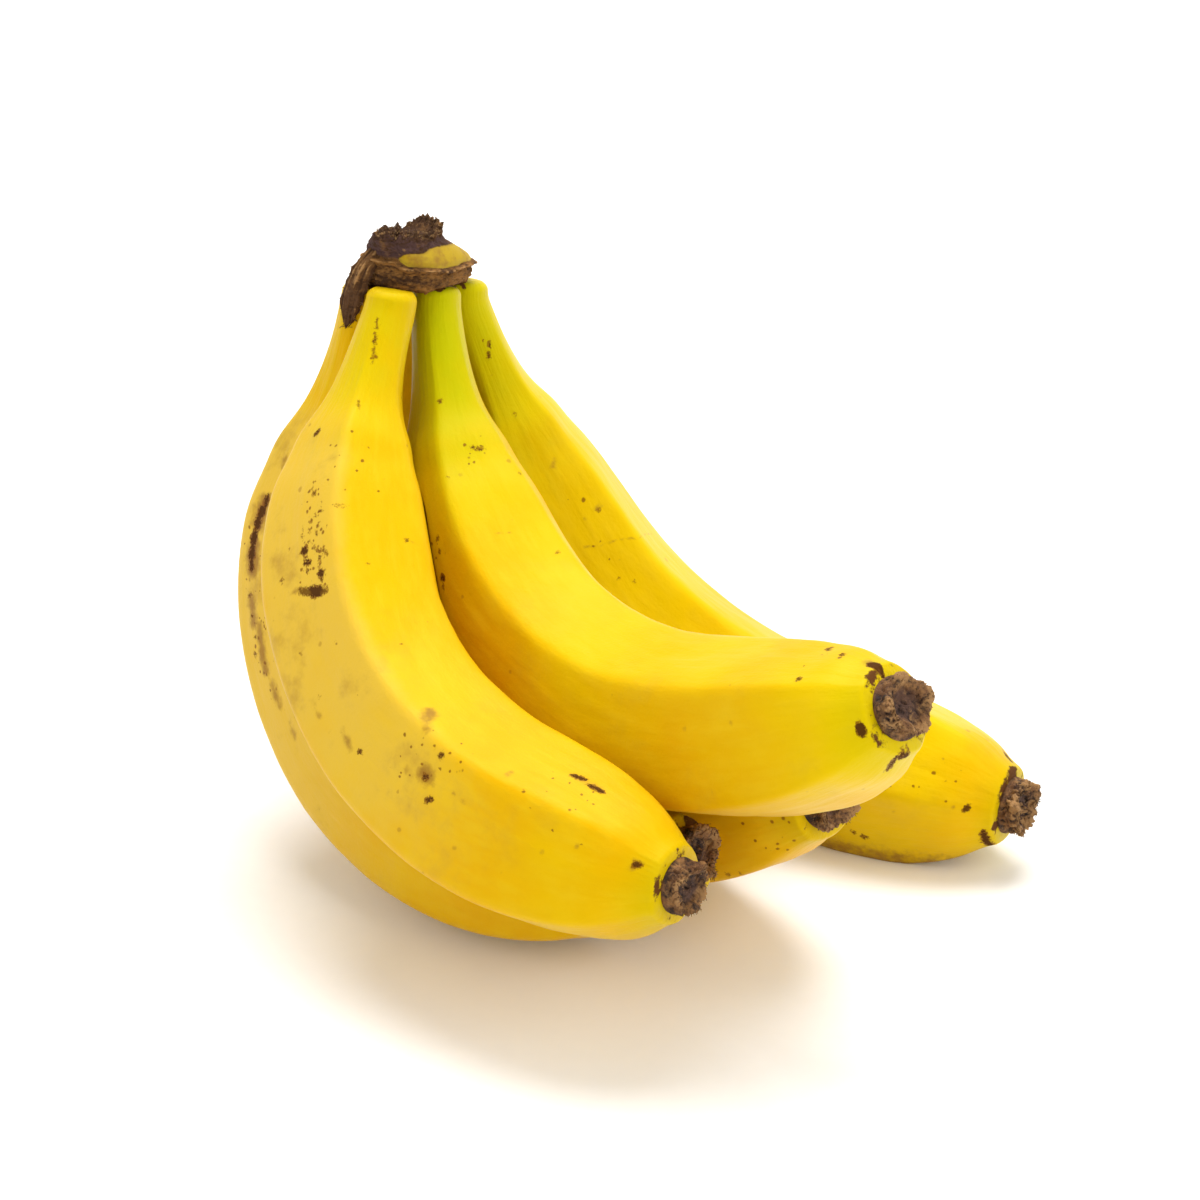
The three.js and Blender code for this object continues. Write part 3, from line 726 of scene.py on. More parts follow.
BRUISES = {
    "front": (
        (66.7, 247, 4.5, 1, 75), (90.5, 233, 2.7, 1, 11), (88.5, 234, 1.4, 0.8, 2),
        (95, 234, 0.8, 1, -1),
        (110.7, 298, 6, 3, -42), (113.2, 291, 4, 1.8, -48), (99, 242, 6, 1.6, -14),
        (118.6, 284, 0.9, 1, 3), (119.2, 268, 6, 4, 18), (114.5, 262, 1.8, 1.2, 15),
        (122, 266, 1.3, 0.8, -1), (130.1, 268, 2, 1, -4), (127.3, 269, 1.5, 0.8, -19),
        (136, 297, 2.4, 1.1, -83), (149.5, 324, 9.7, 1.5, 3), (167.6, 276, 1.2, 2.3, -37),
        (150, 260, 0.8, 0.9, -19), (156.5, 273, 0.8, 0.9, -22), (110.2, 228, 0.7, 0.8, 11),
        (119.5, 226, 0.6, 0.8, 7), (60.4, 348, 2.7, 0.6, 53),
        (72, 132, 9, 2.6, -5), (104, 160, 5, 3, 20),
    ),
    "outer": (
        (50.8, 241, 10, 5.5, -3), (59.2, 240, 10, 5, 3), (68, 240, 4, 3.4, 1), (70.8, 240, 5, 3.2, 0),
        (76.9, 246, 12, 3, -8), (44.9, 262, 2.9, 1.4, 47), (86, 248, 7, 2.4, -5),
        (94, 252, 5, 1.6, -12), (40, 248, 4, 1.6, 0), (64, 178, 14, 4, 4),
        (100, 130, 6, 3.4, -12), (124, 168, 8, 2.6, 8),
    ),
    "middle": (
        (62.2, 329, 6.4, 0.5, 68), (143.9, 276, 1, 0.8, -31), (149.2, 236, 0.7, 0.8, -12),
        (183, 345, 3, 3.4, 90), (92, 128, 7, 3, 10), (118, 168, 6, 2.2, -10),
    ),
    "back": (
        (42.7, 334, 3.4, 1.1, -41), (57.1, 345, 1.7, 1.7, -13), (64, 324, 4.4, 0.6, 59),
        (65.8, 338, 4.3, 0.6, 72), (67.7, 350, 4.2, 0.5, 52), (71.2, 19, 14.7, 0.5, 73),
        (171.8, 292, 0.7, 0.8, -31), (175, 40, 3.7, 0.9, -41),
        (62, 125, 10, 3.4, 6), (92, 160, 6, 3, -16), (120, 190, 7, 2.4, 4),
    ),
    "under": (
        (210.9, 253, 7.5, 1.7, -90), (76, 196, 16, 4.2, 3), (106, 160, 7, 3.6, -10),
        (60, 150, 5, 2.6, 14), (132, 205, 6, 2.4, 0),
    ),
}

# Where fine dark specks crowd together, written the same way, with how thick they lie.
PEPPERED = {
    "front": ((53, 271, 16, 6, 6, 0.6), (63, 268, 15, 8, 0, 0.95), (118, 276, 26, 11, 30, 0.25),
              (40, 300, 30, 14, 0, 0.08), (150, 300, 30, 14, 0, 0.1), (14, 292, 14, 3, 8, 0.3),
              (80, 140, 24, 10, 0, 0.2)),
    "outer": ((56, 246, 30, 9, 0, 0.35), (76, 247, 26, 6, 0, 0.3), (82, 150, 30, 12, 8, 0.25)),
    "middle": ((38, 338, 12, 8, 0, 0.3), (58, 272, 14, 4, 10, 0.35), (174, 340, 16, 10, 0, 0.15),
               (100, 150, 24, 10, 0, 0.15)),
    "back": ((60, 334, 26, 9, 0, 0.12), (168, 300, 20, 14, 0, 0.1), (15, 325, 10, 3, 0, 0.3),
             (80, 140, 28, 12, 0, 0.2)),
    "under": ((204, 265, 18, 16, 0, 0.2), (84, 180, 34, 14, 5, 0.3)),
}
STRONGEST_MARK = 0.92
OUTSIDE = -3.0  # the field where no mark is near


def mark_field(along, around, finger, marks, spread, core=0.0):
    """Millimetres inside the nearest mark's edge, below nought outside it, and that mark's strength.

    A mark is a slightly curved stroke with tapered ends.  A thin one is at least core deep.
    """
    field, tone = np.full(len(along), OUTSIDE), np.full(len(along), STRONGEST_MARK)
    for place, turn, length, width, tilt, *given in marks:
        strength = given[0] if given else min(STRONGEST_MARK, 0.4 + 0.35 * width * min(length, 3))
        share = np.interp(place / finger["length"], *zip(*PEEL_OUTLINE))
        down = along - place
        across = np.radians(off_by(around, turn)) * finger["girth"] * share
        slope = math.radians(tilt)
        x = down * math.cos(slope) + across * math.sin(slope)
        y = across * math.cos(slope) - down * math.sin(slope)
        past = np.maximum(np.abs(x) - max(0, length - width) / 2, 0)
        taper = 1 - 0.6 * np.minimum(np.abs(x) / (length / 2 + 0.3), 1) ** 2
        y = y + 0.03 * x * x * np.sign(math.sin(place * 7)) / max(1, length / 4)
        blur = min(spread, width * 0.4)
        depth = (width / 2 * taper + blur - np.hypot(past, y)) * max(1, core / (width / 2 + blur))
        tone = np.where(depth > field, strength, tone)
        field = np.maximum(field, depth)
    return field, tone


# How green each neck still is, how far down it goes, and the side that it lingers on.
NECK_GREENS = {"front": (0.45, 60, 300), "outer": (0.3, 50, 200), "middle": (0.8, 75, 315),
               "back": (0.65, 65, 300), "under": (0.5, 60, 90)}
# Where dried bark has crept from the blossom end on to the peel: way (degrees), reach (mm), half width.
SKIRTS = {"front": ((255, 0.7, 20), (338, 0.5, 12)), "outer": ((300, 0.8, 20), (20, 0.9, 18)),
          "middle": ((322, 0.8, 17), (232, 0.6, 16), (120, 0.6, 20)),
          "back": ((330, 0.7, 20), (15, 1.2, 18), (262, 0.6, 12)),
          "under": ((280, 0.8, 18), (30, 0.6, 20))}
# Painted bounce light: how much warmer than the rest each finger's yellow is, most on the fingers that
# lie in shade.
SHADE_WARMTH = {"front": 0.12, "outer": 0.25, "middle": 0.02, "back": -0.12, "under": 0.3}
# A painted sheen on one facet of two fingers, stronger on the outer finger where it also paints shade:
# which way, half width (degrees), how strong.
SHEEN_SIDES = {"front": (256, 40, 1), "outer": (245, 60, 1.15)}
BARE = (0, 1, 0)
CONTACT_SHADE_HEIGHT = 5.2  # peel closer to the table than this gets the bruise colour, a painted shade where it lies on the table
COLLAR_REACH = 9.2  # a neck is dry under the collar, this far across
# How far a mark of each kind may spread past its size, and how deep the thinnest bruise still is.
MARK_SPREAD, BRUISE_SPREAD, PEPPER_SPREAD, BRUISE_CORE = 0.35, 0.9, 1.0, 1.5

for name, piece in fingers.items():
    mesh, finger = piece.data, FINGERS[name]
    along, left, facing = read(mesh, "along"), read(mesh, "left"), read(mesh, "facing", 3)
    around = np.degrees(np.arctan2(facing[:, 1], facing[:, 0]))
    strength, reach, side = NECK_GREENS[name]
    lean = 0.5 + 0.5 * np.cos(np.radians(around - side))
    spot, tone = mark_field(along, around, finger, DARK_MARKS[name], MARK_SPREAD)
    stain, _ = mark_field(along, around, finger, BRUISES[name], BRUISE_SPREAD, BRUISE_CORE)
    # Painted contact shade: peel near the table is darkened with the bruise colour.
    contact_shade = np.clip((CONTACT_SHADE_HEIGHT - points_of(mesh)[:, 2] / MM) * 0.5, -3, 1.6)
    crowd, thick = mark_field(along, around, finger, PEPPERED[name], PEPPER_SPREAD)
    # Painted sheen on one facet, fading out along the finger.
    facet, half, how_dull = SHEEN_SIDES.get(name, BARE)
    on_facet = 1 - smooth(np.abs(off_by(around, facet)), half - 9, half + 9)
    skirt = sum(size * ridge(off_by(around, way), 0, wide) for way, size, wide in SKIRTS[name])
    on = (points_of(mesh) / MM - np.array(CROWN_AT)) @ np.array(crown_turn.to_matrix())
    under_collar = COLLAR_REACH - np.hypot(on[:, 0] / CROWN_STRETCH, on[:, 1])
    ripened = smooth(along, 8, reach * (0.6 + 0.6 * lean))
    store(mesh, green=strength * (0.35 + 0.65 * lean) * (1 - ripened), spot=spot, tone=tone,
          stain=np.maximum(stain, contact_shade), pepper=np.clip(crowd / 2.5, 0, 1) * thick,
          dull=how_dull * on_facet * smooth(along, 15, 45) * (1 - smooth(along, 95, 150)),
          warm=np.full(len(along), SHADE_WARMTH[name]),
          dry=np.where(along < 4, np.minimum(under_collar, 1.2 - along), skirt - left))
    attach(piece, "root")
    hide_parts(f"finger_{name}")

# ------------ blossom ends

FRACTAL = (0.8, 2.0)  # how fast the finer waves fade, and how much finer each is


def wavy(x, y, z, scale, seed=0.0, octaves=4):
    """Smooth noise about nought at each place, given in millimetres."""
    shift = Vector((seed, 2.3 * seed, -seed))
    places = np.stack([x, y, z], 1)
    return np.array([noise.fractal(Vector(p) * scale + shift, *FRACTAL, octaves) for p in places])


def shell(name, points, sides, rings, material):
    """A closed piece from rings of points; the first and the last ring are single points."""
    first, last = 0, 1 + sides * (rings - 2)
    faces = [(first, 1 + i, 1 + (i + 1) % sides) for i in range(sides)]
    for ring in range(rings - 3):
        a = 1 + ring * sides
        faces += [(a + i, a + sides + i, a + sides + (i + 1) % sides, a + (i + 1) % sides)
                  for i in range(sides)]
    a = last - sides
    faces += [(a + i, last, a + (i + 1) % sides) for i in range(sides)]
    mesh = bpy.data.meshes.new(name)
    mesh.from_pydata([tuple(p * MM) for p in points], [], faces)
    sculpt = bmesh.new()
    sculpt.from_mesh(mesh)
    bmesh.ops.recalc_face_normals(sculpt, faces=sculpt.faces)
    sculpt.to_mesh(mesh)
    sculpt.free()
    mesh.materials.append(material)
    mesh.shade_smooth()
    piece = bpy.data.objects.new(name, mesh)
    bpy.context.scene.collection.objects.link(piece)
    return piece


def turned(outline, rings, sides):
    """Angle, radius and height of each point of a lathe-turned blank, evenly spaced along it."""
    corners = np.array(outline, float)
    lengths = np.concatenate([[0], np.cumsum(np.hypot(*np.diff(corners, axis=0).T))])
    at = np.linspace(0, lengths[-1], rings)
    radius, height = (np.interp(at, lengths, corners[:, i]) for i in (0, 1))
    soft = np.array([0.25, 0.5, 0.25])
    radius[1:-1], height[1:-1] = (np.convolve(row, soft, "valid") for row in (radius, height))
    angles = np.arange(sides) / sides * math.tau
    inner = slice(1, rings - 1)
    full = [np.tile(angles, rings - 2)] + [np.repeat(row[inner], sides) for row in (radius, height)]
    ends = ((0.0, radius[0], height[0]), (0.0, radius[-1], height[-1]))
    return [np.concatenate([[ends[0][i]], full[i], [ends[1][i]]]) for i in range(3)]


# Radius as a share of the end's width, and height in millimetres.
BLOSSOM_OUTLINE = (
    (0, -0.6), (0.86, -0.6), (0.98, -0.3), (1, 0.2), (0.95, 1), (0.92, 1.8), (0.95, 2.6), (0.93, 3.3),
    (0.85, 3.8), (0.74, 3.8), (0.62, 3.2), (0.5, 2.3), (0.36, 2.0), (0.2, 2.5), (0.08, 2.9), (0, 2.9),
)
CAP_RINGS, CAP_SIDES = 84, 150
RIM_AT, RIM_WIDTH = 0.84, 0.17  # the torn rim round the scar, as shares of the width


def blossom_end(name, seed, width, square, rough):
    """Dried blossom end: a stub of fractured bark round a sunken scar, its radius width millimetres."""
    end, run, inner, side = tips[name]
    outline = [(share * width, up) for share, up in BLOSSOM_OUTLINE]
    angle, radius, height = turned(outline, CAP_RINGS, CAP_SIDES)
    free = smooth(height, 0.0, 1.6)
    lobes = 1 + free * (0.05 * np.cos(2 * angle + seed) + square * np.cos(4 * angle + 1.7 * seed)
                        + 0.05 * np.cos(3 * angle + 2.1 * seed))
    radius = radius * lobes
    rim = smooth(height, 1.6, 3.4)
    height = height + rim * (0.6 * np.sin(2 * angle + seed) + 0.35 * np.sin(5 * angle + 2 * seed))
    x, y = radius * np.cos(angle), radius * np.sin(angle)
    chunks = wavy(x, y, height * 0.4, 0.26, seed + 2, 2)
    plates = wavy(x, y, height * 0.45, 0.5, seed, 2)
    shards = wavy(x, y, height * 0.5, 1.0, seed + 5, 2)
    crumb = wavy(x, y, height, 2.1, seed + 9, 3)
    cracks = smooth(np.abs(plates), 0, 0.13) + 0.6 * smooth(np.abs(shards), 0, 0.15) - 1.3
    swell = rough * free * (0.6 * cracks + 0.7 * chunks + 0.36 * shards + 0.16 * crumb)
    lift = smooth(height, 2.2, 3.6)
    off_axis = smooth(radius, 0, 4)
    outward = np.stack([np.cos(angle) * off_axis, np.sin(angle) * off_axis, lift], 1)
    flat = np.stack([x, y, height], 1) + outward * swell[:, None]
    place = flat @ np.array([inner, side, run]) + np.array(end) / MM
    piece = shell(f"blossom_end_{name}_bark", place, CAP_SIDES, CAP_RINGS, dried)
    ring = ridge(radius / width, RIM_AT, RIM_WIDTH) * smooth(height, 2.2, 3.3)
    # crest: raised bark and the rim round the scar take a painted highlight, sunken bark a painted
    # shade.
    store(piece.data, crest=swell * 0.9 + 0.5 * ring * (0.6 + chunks) + 0.05,
          scar=1 - smooth(radius / width, 0.42, 0.62), side=1 - smooth(height, 2.2, 3.2),
          shag=0.7 * rough * ring + 0.3 * free * (height < 2))
    return piece


ENDS = {
    "front": dict(seed=1.0, width=5.6, square=0.06, rough=0.8),
    "outer": dict(seed=2.0, width=5.75, square=0.04, rough=1.1),
    "middle": dict(seed=3.3, width=6.35, square=0.03, rough=0.8),
    "back": dict(seed=4.1, width=6.15, square=0.05, rough=1.25),
    "under": dict(seed=5.2, width=5.95, square=0.05, rough=0.95),
}
ends = {}
for name, end in ENDS.items():
    ends[name] = piece = blossom_end(name, **end)
    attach(piece, "root")
    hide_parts(f"blossom_end_{name}")

# ------------ crown

CROWN_RINGS, CROWN_SIDES = 190, 300
COLLAR_HEIGHT, LIP_THICKNESS = 4.8, 0.9  # where the collar's lip is widest
LIP_SHADOW_HEIGHT, BRINK_HEIGHT = 4.0, 12.15  # the hollow under the lip, painted darker as the lip's shadow, and the stump's broken edge
TEAR_FOOT, TEAR_HEIGHT = 9.4, 11.8  # where the stump starts to be torn, and its torn rim
STUMP_SHIFT = -5.5  # how far the stump leans along the crown
STUMP_RADIUS = 6.1
NECK_RADIUS = 5.6
ROUNDINGS = 20  # how often the tables below are smoothed
# Radius and height of the crown before it is stretched.
CROWN_OUTLINE = (
    (0, 0.2), (8.4, 0.1), (9.4, 0.3), (9.85, 1.0), (9.95, 2.2), (9.8, 3.3), (9.75, 3.9), (10.2, 4.25),
    (10.75, 4.55), (10.85, 4.8), (10.65, 5.05), (9.95, 5.2), (9.65, 5.6), (9.3, 6.5), (8.5, 7.6),
    (7.5, 8.6), (6.7, 9.4), (6.3, 10.2), (6.2, 11), (6.1, 11.8), (5.6, 12.2), (4.9, 11.9), (4, 11.2),
    (3.2, 10.7), (1.6, 10.7), (0, 10.5),
)
# Heights round the crown, in degrees from its far end by the side that faces the front finger.
TORN_RIM = (
    (0, 13.6), (20, 13.2), (40, 12.2), (60, 11.1), (80, 10.8), (100, 10.9), (140, 10.9), (180, 10.5),
    (200, 9.9), (220, 9.4), (240, 9.8), (260, 10.2), (280, 10.6), (300, 10.9), (320, 11.8), (340, 13),
)
LIP_LINE = (
    (0, 4.9), (40, 5.1), (60, 5.2), (75, 5.1), (90, 4.6), (106, 4.1), (128, 4.2), (150, 3.9),
    (158, 4.4), (166, 5.2), (180, 4.8), (220, 4.8), (260, 4.5), (300, 5.0),
)
COLLAR_FOOT = (
    (0, 1.1), (40, 1.6), (60, 1.5), (80, 1.1), (100, 0.5), (146, -0.6), (180, -0.7), (230, -1.1),
    (300, -0.7), (330, 0.2),
)
PATCH_TOP = (
    (0, 7), (20, 8.6), (60, 9.3), (85, 9.2), (104, 8.8), (118, 7.9), (140, 7.6), (152, 7.2), (165, 6.2),
    (180, 5),
)


def round_crown(angle, table):
    """A value at each angle, gently between the table's pairs of degrees and value."""
    fine = np.arange(360.0)
    values = np.interp(fine, *zip(*table), period=360)
    for _ in range(ROUNDINGS):
        values = (np.roll(values, 1) + 2 * values + np.roll(values, -1)) / 4
    return np.interp(np.degrees(angle), fine, values, period=360)


def crown_piece():
    """Bark cushion: a collar with a wavy lip, a leaning stump torn off at the top, one fresh patch."""
    angle, radius, height = turned(CROWN_OUTLINE, CROWN_RINGS, CROWN_SIDES)
    x, z = radius * np.cos(angle), radius * np.sin(angle)
    degrees = np.degrees(angle)

    # The collar's wavy lip, the foot of its band, the torn rim, and the stump's lean to one end.
    lip = ridge(height, COLLAR_HEIGHT, LIP_THICKNESS)
    band = np.clip(1 - height / COLLAR_HEIGHT, 0, 1)
    torn = smooth(height, TEAR_FOOT, TEAR_HEIGHT)
    rim = smooth(height, 10.6, TEAR_HEIGHT) * smooth(radius, 2.5, 5.2)
    inside = np.minimum(radius / STUMP_RADIUS, 1)
    flare = 0.015 * lip * ridge(degrees, 62, 12)
    tuck = 0.035 * lip * (1 - smooth(np.abs(degrees - 110), 60, 90))
    grow = 1 + lip * (0.012 * np.sin(7 * angle + 1) + 0.008 * np.sin(17 * angle)) + flare - tuck
    lip_line = round_crown(angle, LIP_LINE)
    up = height + np.clip(height / 4, 0, 1) * (1 - torn) * (lip_line - COLLAR_HEIGHT)
    up = up + band * round_crown(angle, COLLAR_FOOT) + lip * 0.08 * np.sin(13 * angle)
    up = up + torn * inside * (round_crown(angle, TORN_RIM) - TEAR_HEIGHT)
    near_end = smooth(-np.cos(angle), 0.35, 1.0) * (1 - smooth(height, 6.5, 9)) * smooth(radius, 5, 9)
    along = x * CROWN_STRETCH * grow * (1 - 0.1 * near_end) + STUMP_SHIFT * smooth(height, 5, 11)
    flat = np.stack([along, z * grow, up], 1)

    # Fresh skin shows where the bark never spread: a patch above the lip on one side.
    lip_top = lip_line + 0.55
    patch = np.minimum.reduce([(up - lip_top) / 0.45, (round_crown(angle, PATCH_TOP) - up) / 0.7,
                               (166 - degrees) / 12, (degrees - 14) / 14])
    patch = np.where(height > COLLAR_HEIGHT + 0.2, patch, -1)

    # Bark is rough: wrinkles round the collar, crumbs on the stump, split strands where it tore.
    bare = 1 - smooth(patch, -0.4, 0.4)
    wrinkle = wavy(x * 0.4, z * 0.4, height * 1.7, 0.8, 3.0)
    crumb = wavy(*flat.T, 1.25, 7.0)
    strand = wavy(x * 1.3, z * 1.3, height * 0.35, 1.0, 9.0, 3)
    tuft = wavy(x, z, height * 0.2, 0.5, 2.0, 2)
    rough = bare * smooth(height, 0.2, 1.0) * (
        0.3 * wrinkle * (1 - smooth(height, 8, 10)) + 0.26 * crumb + 0.42 * strand * torn)
    outward = np.stack([np.cos(angle), np.sin(angle), 0.4 * torn], 1)
    flat += outward * (rough * smooth(radius, 1, 4))[:, None]
    flat[:, 2] += rim * (0.9 * strand + 1.2 * tuft - 0.3) + torn * 0.3 * strand

    # Webs of scar tissue hang between the necks, deepest at the back.
    necks = np.array([f["neck"] for f in FINGERS.values()], float)
    reach = np.hypot(flat[:, None, 0] - necks[:, 0], flat[:, None, 1] - necks[:, 1])
    reach = np.sort(reach, axis=1) - NECK_RADIUS
    below = (height < 0.6) & (radius < 9.6)
    between = smooth(reach[:, 0], 0.0, 1.3) * smooth(reach[:, 1], 4.5, 1.5)
    deep = 0.7 + 0.7 * smooth(-flat[:, 1], 1.5, 5.5)
    flat[:, 2] -= below * (deep + 0.6 * crumb) * between

    # What the finishes and the fibres go by: raised and sunken bark, which the cork finish paints as
    # highlight and shade, a painted highlight on the lip's edge and a painted shadow under it, the
    # wall, the tear and the patch.
    place = np.array([on_crown(*p) for p in flat])
    piece = shell("crown_bark", place, CROWN_SIDES, CROWN_RINGS, bark)
    edge = ridge(height - COLLAR_HEIGHT, 0.05, 0.22)
    lip_shadow = ridge(height, LIP_SHADOW_HEIGHT, 0.3)
    brink = ridge(height, BRINK_HEIGHT, 0.22)
    crest = (rough * 1.1 + 0.5 * edge - 0.45 * lip_shadow + 0.4 * torn * strand - 0.1
             + torn * (0.75 * brink - 0.55))
    split = smooth(height, 11.9 - 1.8 * np.clip(np.cos(angle - 0.4), 0, 1), 12.3)
    split = np.where(radius < 5.2, smooth(height, 9, 10), split)
    inner_face = (radius < STUMP_RADIUS) & (height > 10)
    store(piece.data, crest=crest, wall=smooth(height, 5.3, 6.2) * (1 - split), torn=split, patch=patch,
          shag=0.8 * (height > 11.9) * rim + 0.45 * inner_face + 0.3 * edge * (degrees > 170))
    return piece


# The tongue's middle line from the crown, down beside the necks.
FLAP = ((-7.4, -5.5, 9.6), (-10.2, -8.5, 6.8), (-12.4, -9.5, 2.4), (-13.6, -9.6, -2), (-14, -9.6, -6.6))
FLAP_WIDTH = 5.4
FLAP_RINGS, FLAP_SIDES, FLAP_ROUNDINGS = 170, 96, 500
FLAP_FACES = Vector((-0.6, -0.8, 0))  # the way its flat side looks


def flap_piece():
    """A tongue of dried skin that hangs from the crown's edge, its rims curled out."""
    knots = np.array(FLAP) + np.array(CROWN_AT)
    steps = np.linspace(0, len(FLAP) - 1, FLAP_RINGS)
    line = np.stack([np.interp(steps, range(len(FLAP)), knots[:, i]) for i in range(3)], 1)
    for _ in range(FLAP_ROUNDINGS):
        line[1:-1] = (line[:-2] + 2 * line[1:-1] + line[2:]) / 4
    runs = np.gradient(line, axis=0)
    points, crest, wall, shag = [], [], [], []
    for ring in range(FLAP_RINGS):
        share = ring / (FLAP_RINGS - 1)
        run = Vector(runs[ring]).normalized()
        wide = run.cross(FLAP_FACES).normalized()
        thick = wide.cross(run)
        taper = math.sqrt(min(1, (1 - share) * 4)) * (0.72 + 1.1 * share * (1 - share))
        count = 1 if ring in (0, FLAP_RINGS - 1) else FLAP_SIDES
        for i in range(count):
            angle = i / FLAP_SIDES * math.tau
            across, out = (0, 0) if count == 1 else (math.cos(angle), math.sin(angle))
            tear = 1 + 0.16 * noise.noise(Vector((share * 14, across * 0.6, 4))) * abs(across)
            strand = noise.fractal(Vector((across * 4.2, share * 3.0, out * 0.5)), *FRACTAL, 3)
            fold = noise.fractal(Vector((across * 1.4, share * 4.5, out * 0.6 + 8)), *FRACTAL, 3)
            curl = 1.0 * across * across - 0.4
            place = Vector(line[ring]) + wide * (across * taper * tear * FLAP_WIDTH / 2)
            bumps = (0.3 * fold + 0.34 * strand) * (count > 1)
            place += thick * ((out * 0.7 - curl * 0.8) * taper + bumps)
            points.append(place)
            edge = float(smooth(abs(across), 0.75, 0.98))
            burnt = float(smooth(share, 0.72, 0.95))
            # Raised strands take a painted highlight through the cork finish; the rims and the burnt
            # tip are darker skin.
            crest.append(0.95 * strand + 0.3 * fold - 0.15 - 0.3 * burnt - 0.5 * edge)
            wall.append(0.15 + float(smooth(share, 0.3, 0.6)) * 0.35)
            shag.append(0.7 * edge + 1.1 * float(smooth(share, 0.9, 1)))
    piece = shell("crown_flap", np.array(points), FLAP_SIDES, FLAP_RINGS, bark)
    store(piece.data, crest=crest, torn=np.full(len(crest), 0.5), wall=wall, shag=shag,
          patch=np.full(len(crest), -1.0))
    return piece


crown, flap = crown_piece(), flap_piece()
for piece in (crown, flap):
    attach(piece, "root")
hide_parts("crown")

# ------------ torn fibres

SHORTEST_FIBRE = 0.25  # no fibre grows where "shag" is below this
FIBRE_THICKNESS, FIBRE_SPREAD, FIBRE_DROOP, FIBRE_SEED = 0.07, 1.2, 0.2, 11
# How many to a square millimetre, and how curly, on the crown and on the blossom ends.
FIBRES = {"crown_bark": (1.8, 2.2), "dried_end": (1.5, 0.6)}


def fibre_tree():
    """Short split fibres that stand out of a surface where its attribute "shag" gives them a length."""
    tree, b, given = new_group("split fibres", "GeometryNodeTree", {
        SHAPE: ["Geometry"], FLOAT: ["Per Square Millimetre", "Thickness", "Spread", "Curl", "Droop"],
        WHOLE: ["Seed"], FINISH: ["Fibre"]}, {SHAPE: ["Geometry"]})
    shag = b.add("GeometryNodeInputNamedAttribute", {"Name": "shag"}, data_type="FLOAT").outputs[0]
    density = b.times(given["Per Square Millimetre"], 1e6)
    roots = b.add("GeometryNodeDistributePointsOnFaces", {
        "Mesh": given["Geometry"], "Selection": b.math("GREATER_THAN", shag, SHORTEST_FIBRE),
        "Density": density, "Seed": given["Seed"]})
    stray = b.add("FunctionNodeRandomValue", {0: (-1, -1, -1), 1: (1, 1, 1), "Seed": given["Seed"]},
                  data_type="FLOAT_VECTOR").outputs[0]
    way = b.moved(roots.outputs["Normal"], b.scaled(stray, given["Spread"]))
    turn = b.add("FunctionNodeAlignRotationToVector", {"Vector": way}, axis="Z").outputs[0]
    share = b.add("FunctionNodeRandomValue", {2: 0.35, 3: 1.0, "Seed": b.plus(given["Seed"], 7)},
                  data_type="FLOAT").outputs[1]
    length = b.times(b.times(shag, share), MM)
    stalk = b.step("CurvePrimitiveLine", Start=(0, 0, -0.3), End=(0, 0, 1))
    stalk = b.step("ResampleCurve", Curve=stalk, Count=6)
    many = b.step("InstanceOnPoints", Points=roots.outputs["Points"], Instance=stalk, Rotation=turn,
                  Scale=b.joined(length, length, length))
    many = b.step("RealizeInstances", Geometry=many)
    along = b.add("GeometryNodeSplineParameter").outputs["Factor"]
    sway = b.noise(b.step("InputPosition"), 900.0, 1.0, 0.5, "Color")
    bend = b.times(b.math("POWER", along, 1.5), MM)
    sway = b.scaled(b.vector("SUBTRACT", sway, (0.5, 0.5, 0.5)), b.times(bend, given["Curl"]))
    fall = b.times(b.times(bend, given["Droop"]), -1.0)
    many = b.step("SetPosition", Geometry=many, Offset=b.moved(sway, b.joined(z=fall)))
    many = b.step("SetCurveRadius", Curve=many, Radius=b.smooth(along, 1.15, 0.1, 0.15, 1.0))
    section = b.step("CurvePrimitiveCircle", Resolution=3, Radius=b.times(given["Thickness"], MM))
    mesh = b.step("CurveToMesh", Curve=many, Profile_Curve=section, Fill_Caps=True)
    finish_growth(b, mesh, given["Fibre"])
    return tree


fibre_rule = fibre_tree()
hosts = [(crown, "crown_bark"), (flap, "crown_bark")] + [(end, "dried_end") for end in ends.values()]
for seed, (host, slot) in enumerate(hosts, FIBRE_SEED):
    dense, curl = FIBRES[slot]
    piece = grown(f"{host.name}_fibres", fibre_rule, {
        "Per Square Millimetre": dense, "Thickness": FIBRE_THICKNESS, "Spread": FIBRE_SPREAD,
        "Curl": curl, "Droop": FIBRE_DROOP, "Seed": seed, "Fibre": fibre}, host.data.copy())
    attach(piece, "root")

# ------------ table, light and camera

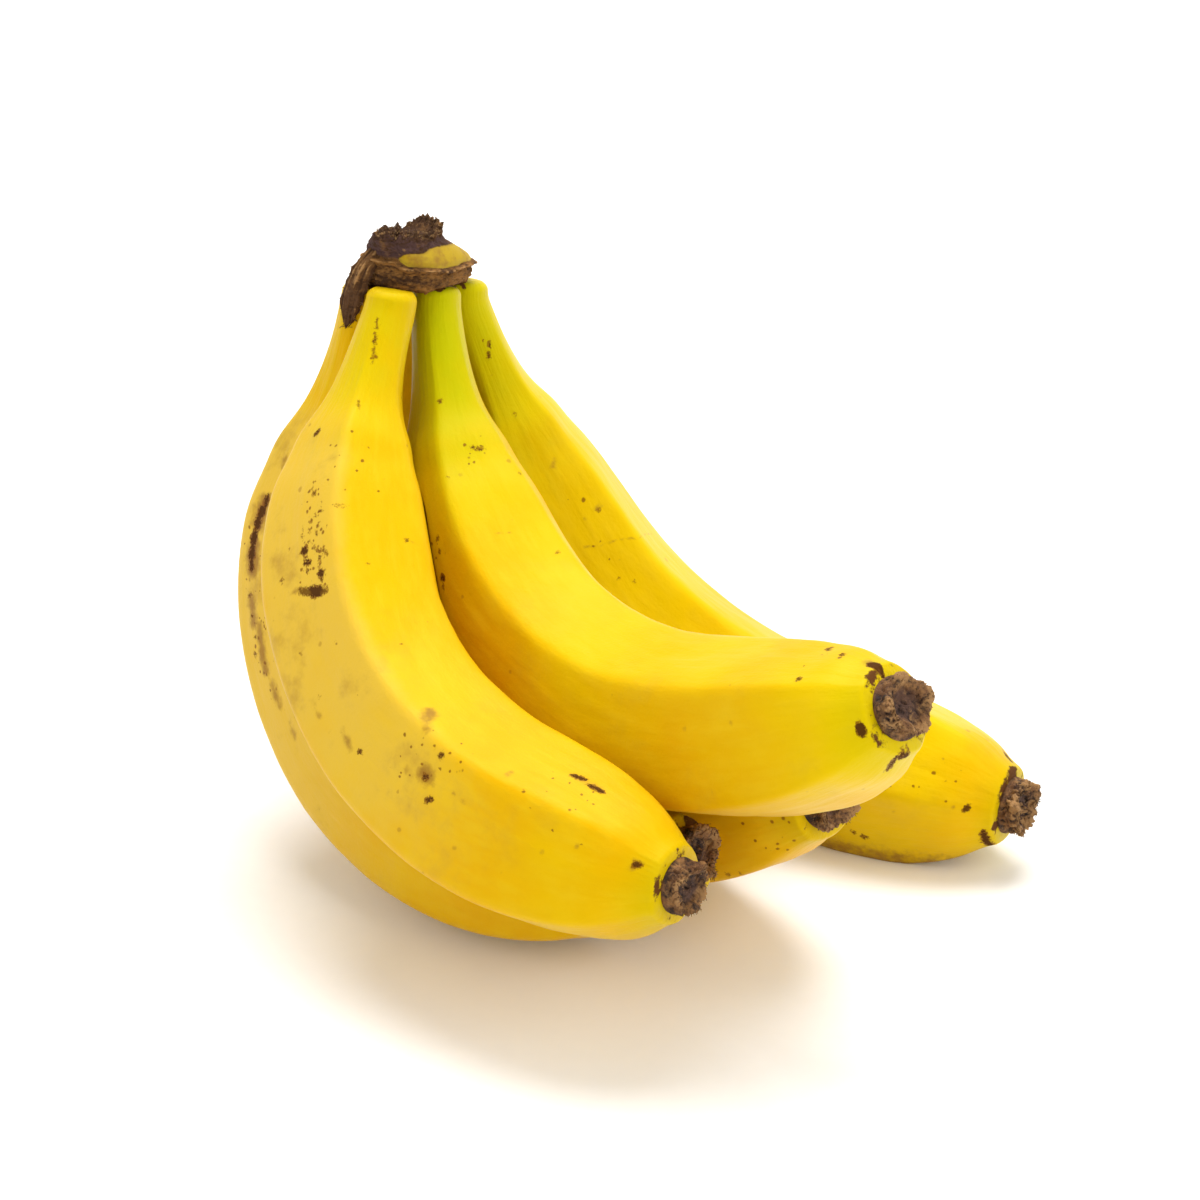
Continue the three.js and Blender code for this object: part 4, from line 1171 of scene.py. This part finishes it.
TABLE_SIZE = 6  # metres, as all sizes from here on
bpy.ops.mesh.primitive_plane_add(size=TABLE_SIZE)
table = bpy.context.object
table.name = "table_top"
table.data.materials.append(floor_finish())

TARGET = Vector((-0.0078, -0.0289, 0.0816))  # where the camera and the lamps point
ELEVATION = math.radians(24.5)
DISTANCE = 0.875
LENS, SENSOR = 134.4, 36
CAMERA_SIDE, FAR_SIDE = 0.62, 0.66  # how bright the studio is on either side
BACKDROP = 1.0  # how much brighter it is to look at


def lamp(name, place, size, power, colour=(1, 1, 1)):
    data = bpy.data.lights.new(name, "AREA")
    data.shape, data.size, data.energy, data.color = "DISK", size, power, colour
    light = bpy.data.objects.new(name, data)
    light.location = place
    light.rotation_euler = (TARGET - Vector(place)).to_track_quat("-Z", "Y").to_euler()
    bpy.context.scene.collection.objects.link(light)


lamp("overhead softbox", (0.02, 0.33, 1.12), 0.95, 15.5, (1.0, 0.985, 0.96))
lamp("right softbox", (0.9, -0.6, 0.7), 0.9, 6)
lamp("left softbox", (-0.85, -0.75, 0.65), 0.9, 3)

# The studio is a little dimmer on the camera's side, and plain white behind it all.
world = bpy.data.worlds.new("studio")
bpy.context.scene.world = world
world.use_nodes = True
studio = Bench(world.node_tree)
ways = studio.parts(studio.add("ShaderNodeTexCoord").outputs["Generated"])
bright = studio.smooth(ways[1], -1.0, 0.5, CAMERA_SIDE, FAR_SIDE)
seen = studio.add("ShaderNodeLightPath").outputs["Is Camera Ray"]
strength = studio.plus(bright, studio.times(seen, BACKDROP))
sky = world.node_tree.nodes["Background"]
sky.inputs["Color"].default_value = (1, 1, 1, 1)
world.node_tree.links.new(strength, sky.inputs["Strength"])
bpy.context.scene.view_settings.view_transform = "Standard"

camera = bpy.data.objects.new("camera", bpy.data.cameras.new("camera"))
bpy.context.scene.collection.objects.link(camera)
camera.data.lens, camera.data.sensor_width = LENS, SENSOR
camera.location = TARGET + Vector((0, -math.cos(ELEVATION), math.sin(ELEVATION))) * DISTANCE
camera.rotation_euler = (math.pi / 2 - ELEVATION, 0, 0)
bpy.context.scene.camera = camera
